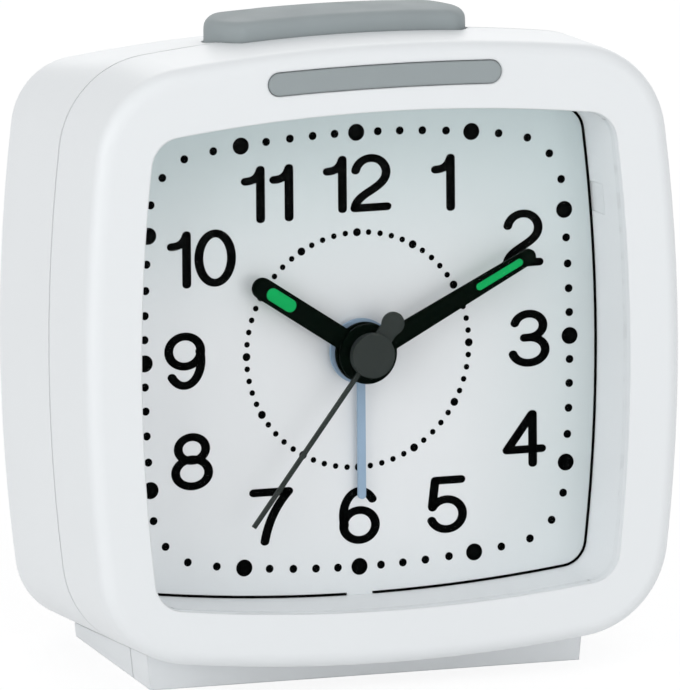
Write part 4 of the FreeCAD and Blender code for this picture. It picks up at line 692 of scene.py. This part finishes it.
def print_dial():
    """Minute dots, inner ring of dots, numerals and the painted shadow in the gap round the dial.
    """
    # The print's black, which also makes the painted shadow in the gap round the dial.
    ink_and_painted_shadow = Finish("dial_print_and_shadow_black", (2, 3, 3), 0.6, specular=0.01)
    ink_and_painted_shadow.uneven_colour(0.8, 0.25).grain(0.08, 0.003)
    track = []
    ring = []
    for minute in range(MINUTES):
        on_hour = minute % 5 == 0
        degrees = DEGREES_PER_MINUTE * minute
        turn = math.radians(degrees)
        on_ring = (RING_RADIUS * math.sin(turn), RING_RADIUS * math.cos(turn))
        track_dot = HOUR_DOT if on_hour else MINUTE_DOT
        ring_dot = RING_HOUR_DOT if on_hour else RING_MINUTE_DOT
        track.append(disc_outline(soft_square_point(degrees, TRACK), track_dot / 2))
        ring.append(disc_outline(on_ring, ring_dot / 2))
    # Painted shadow in the gap between the dial and the window wall.
    dial_gap_painted_shadow(ink_and_painted_shadow)
    printed("dial_minute_dots", track, ink_and_painted_shadow)
    printed("dial_inner_ring", ring, ink_and_painted_shadow)
    for text, figures in numeral_places():
        faces = []
        for digit, across, up in figures:
            for path in digit_strokes(digit):
                middle = Vector((across, up))
                faces += [[middle + point for point in face] for face in stroke_faces(path)]
        printed("dial_numeral_" + text, faces, ink_and_painted_shadow)


def let_leaf_give():
    """Gives the snooze leaf a mesh of its own."""
    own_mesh(NODES["snooze_leaf"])


# ================================================================ surroundings
def seen_directly(nodes, links):
    """1 for what the camera sees, also in gloss or through glass, and 0 for light on its way."""
    path = nodes.new("ShaderNodeLightPath").outputs
    total = path["Is Camera Ray"]
    for kind in ("Is Glossy Ray", "Is Transmission Ray"):
        total = reckon(nodes, links, "MAXIMUM", total, path[kind])
    return total


def floor():
    """White table top that keeps the clock's soft shadow."""
    mesh = bpy.data.meshes.new("floor")
    corners = [(across * FLOOR_HALF, along * FLOOR_HALF, 0) for across, along in FLOOR_CORNERS]
    mesh.from_pydata(corners, [], [(0, 1, 2, 3)])
    material = bpy.data.materials.new("floor_white")
    nodes, links = empty_tree(material)
    paint = nodes.new("ShaderNodeBsdfDiffuse")
    paint.inputs["Color"].default_value = FLOOR_PAINT
    glow = nodes.new("ShaderNodeEmission")
    glow.inputs["Color"].default_value = WHITE
    glow.inputs["Strength"].default_value = FLOOR_GLOW
    share = reckon(nodes, links, "MULTIPLY", seen_directly(nodes, links), FLOOR_GLOW_SHARE)
    end_in_mix(nodes, links, "ShaderNodeOutputMaterial", share, paint, glow)
    mesh.materials.append(material)
    piece = new_object("floor", mesh)


def world():
    """Even white surroundings: plain white to the eye, softer as a light."""
    studio = bpy.data.worlds.new("studio")
    bpy.context.scene.world = studio
    nodes, links = empty_tree(studio)
    lit = nodes.new("ShaderNodeBackground")
    lit.inputs["Color"].default_value = SKY_COLOUR
    lit.inputs["Strength"].default_value = SKY_STRENGTH
    white = nodes.new("ShaderNodeBackground")
    white.inputs["Color"].default_value = WHITE
    white.inputs["Strength"].default_value = 1.0
    end_in_mix(nodes, links, "ShaderNodeOutputWorld", seen_directly(nodes, links), lit, white)


def lights():
    """Wide panels above, at the left and behind, and a low one in front for the foot."""
    for name, (place, target, size, power) in LAMPS.items():
        lamp = bpy.data.lights.new(name, "AREA")
        lamp.shape = "SQUARE"
        lamp.size = size
        lamp.energy = power
        piece = new_object(name, lamp)
        piece.location = place
        piece.rotation_mode = "QUATERNION"
        piece.rotation_quaternion = (Vector(place) - Vector(target)).to_track_quat("Z", "Y")


def camera():
    """Long lens in front of the dial, a little to the left and above."""
    right = VIEW_RIGHT.normalized()
    toward = right.cross(VIEW_UP).normalized()
    up = toward.cross(right).normalized()
    aim = DIAL_CENTRE - right * DIAL_OFF_CENTRE[0] * MM - up * DIAL_OFF_CENTRE[1] * MM
    lens = bpy.data.cameras.new("camera")
    lens.sensor_width = SENSOR
    lens.lens = SENSOR * CAMERA_DISTANCE / (max(PIXELS) / PIXELS_PER_MM * MM)
    lens.clip_start, lens.clip_end = CAMERA_REACH
    stance = Matrix((right, up, toward)).transposed().to_4x4()
    stance.translation = aim + toward * CAMERA_DISTANCE
    piece = new_object("camera", lens)
    piece.matrix_world = stance
    bpy.context.scene.camera = piece


case_plastic()
grey_plastic()
clear_window()
dial_silver()
hand_finishes()
movement_finishes()
print_dial()
let_leaf_give()
floor()
world()
lights()
camera()
bpy.context.scene.view_settings.view_transform = "Standard"
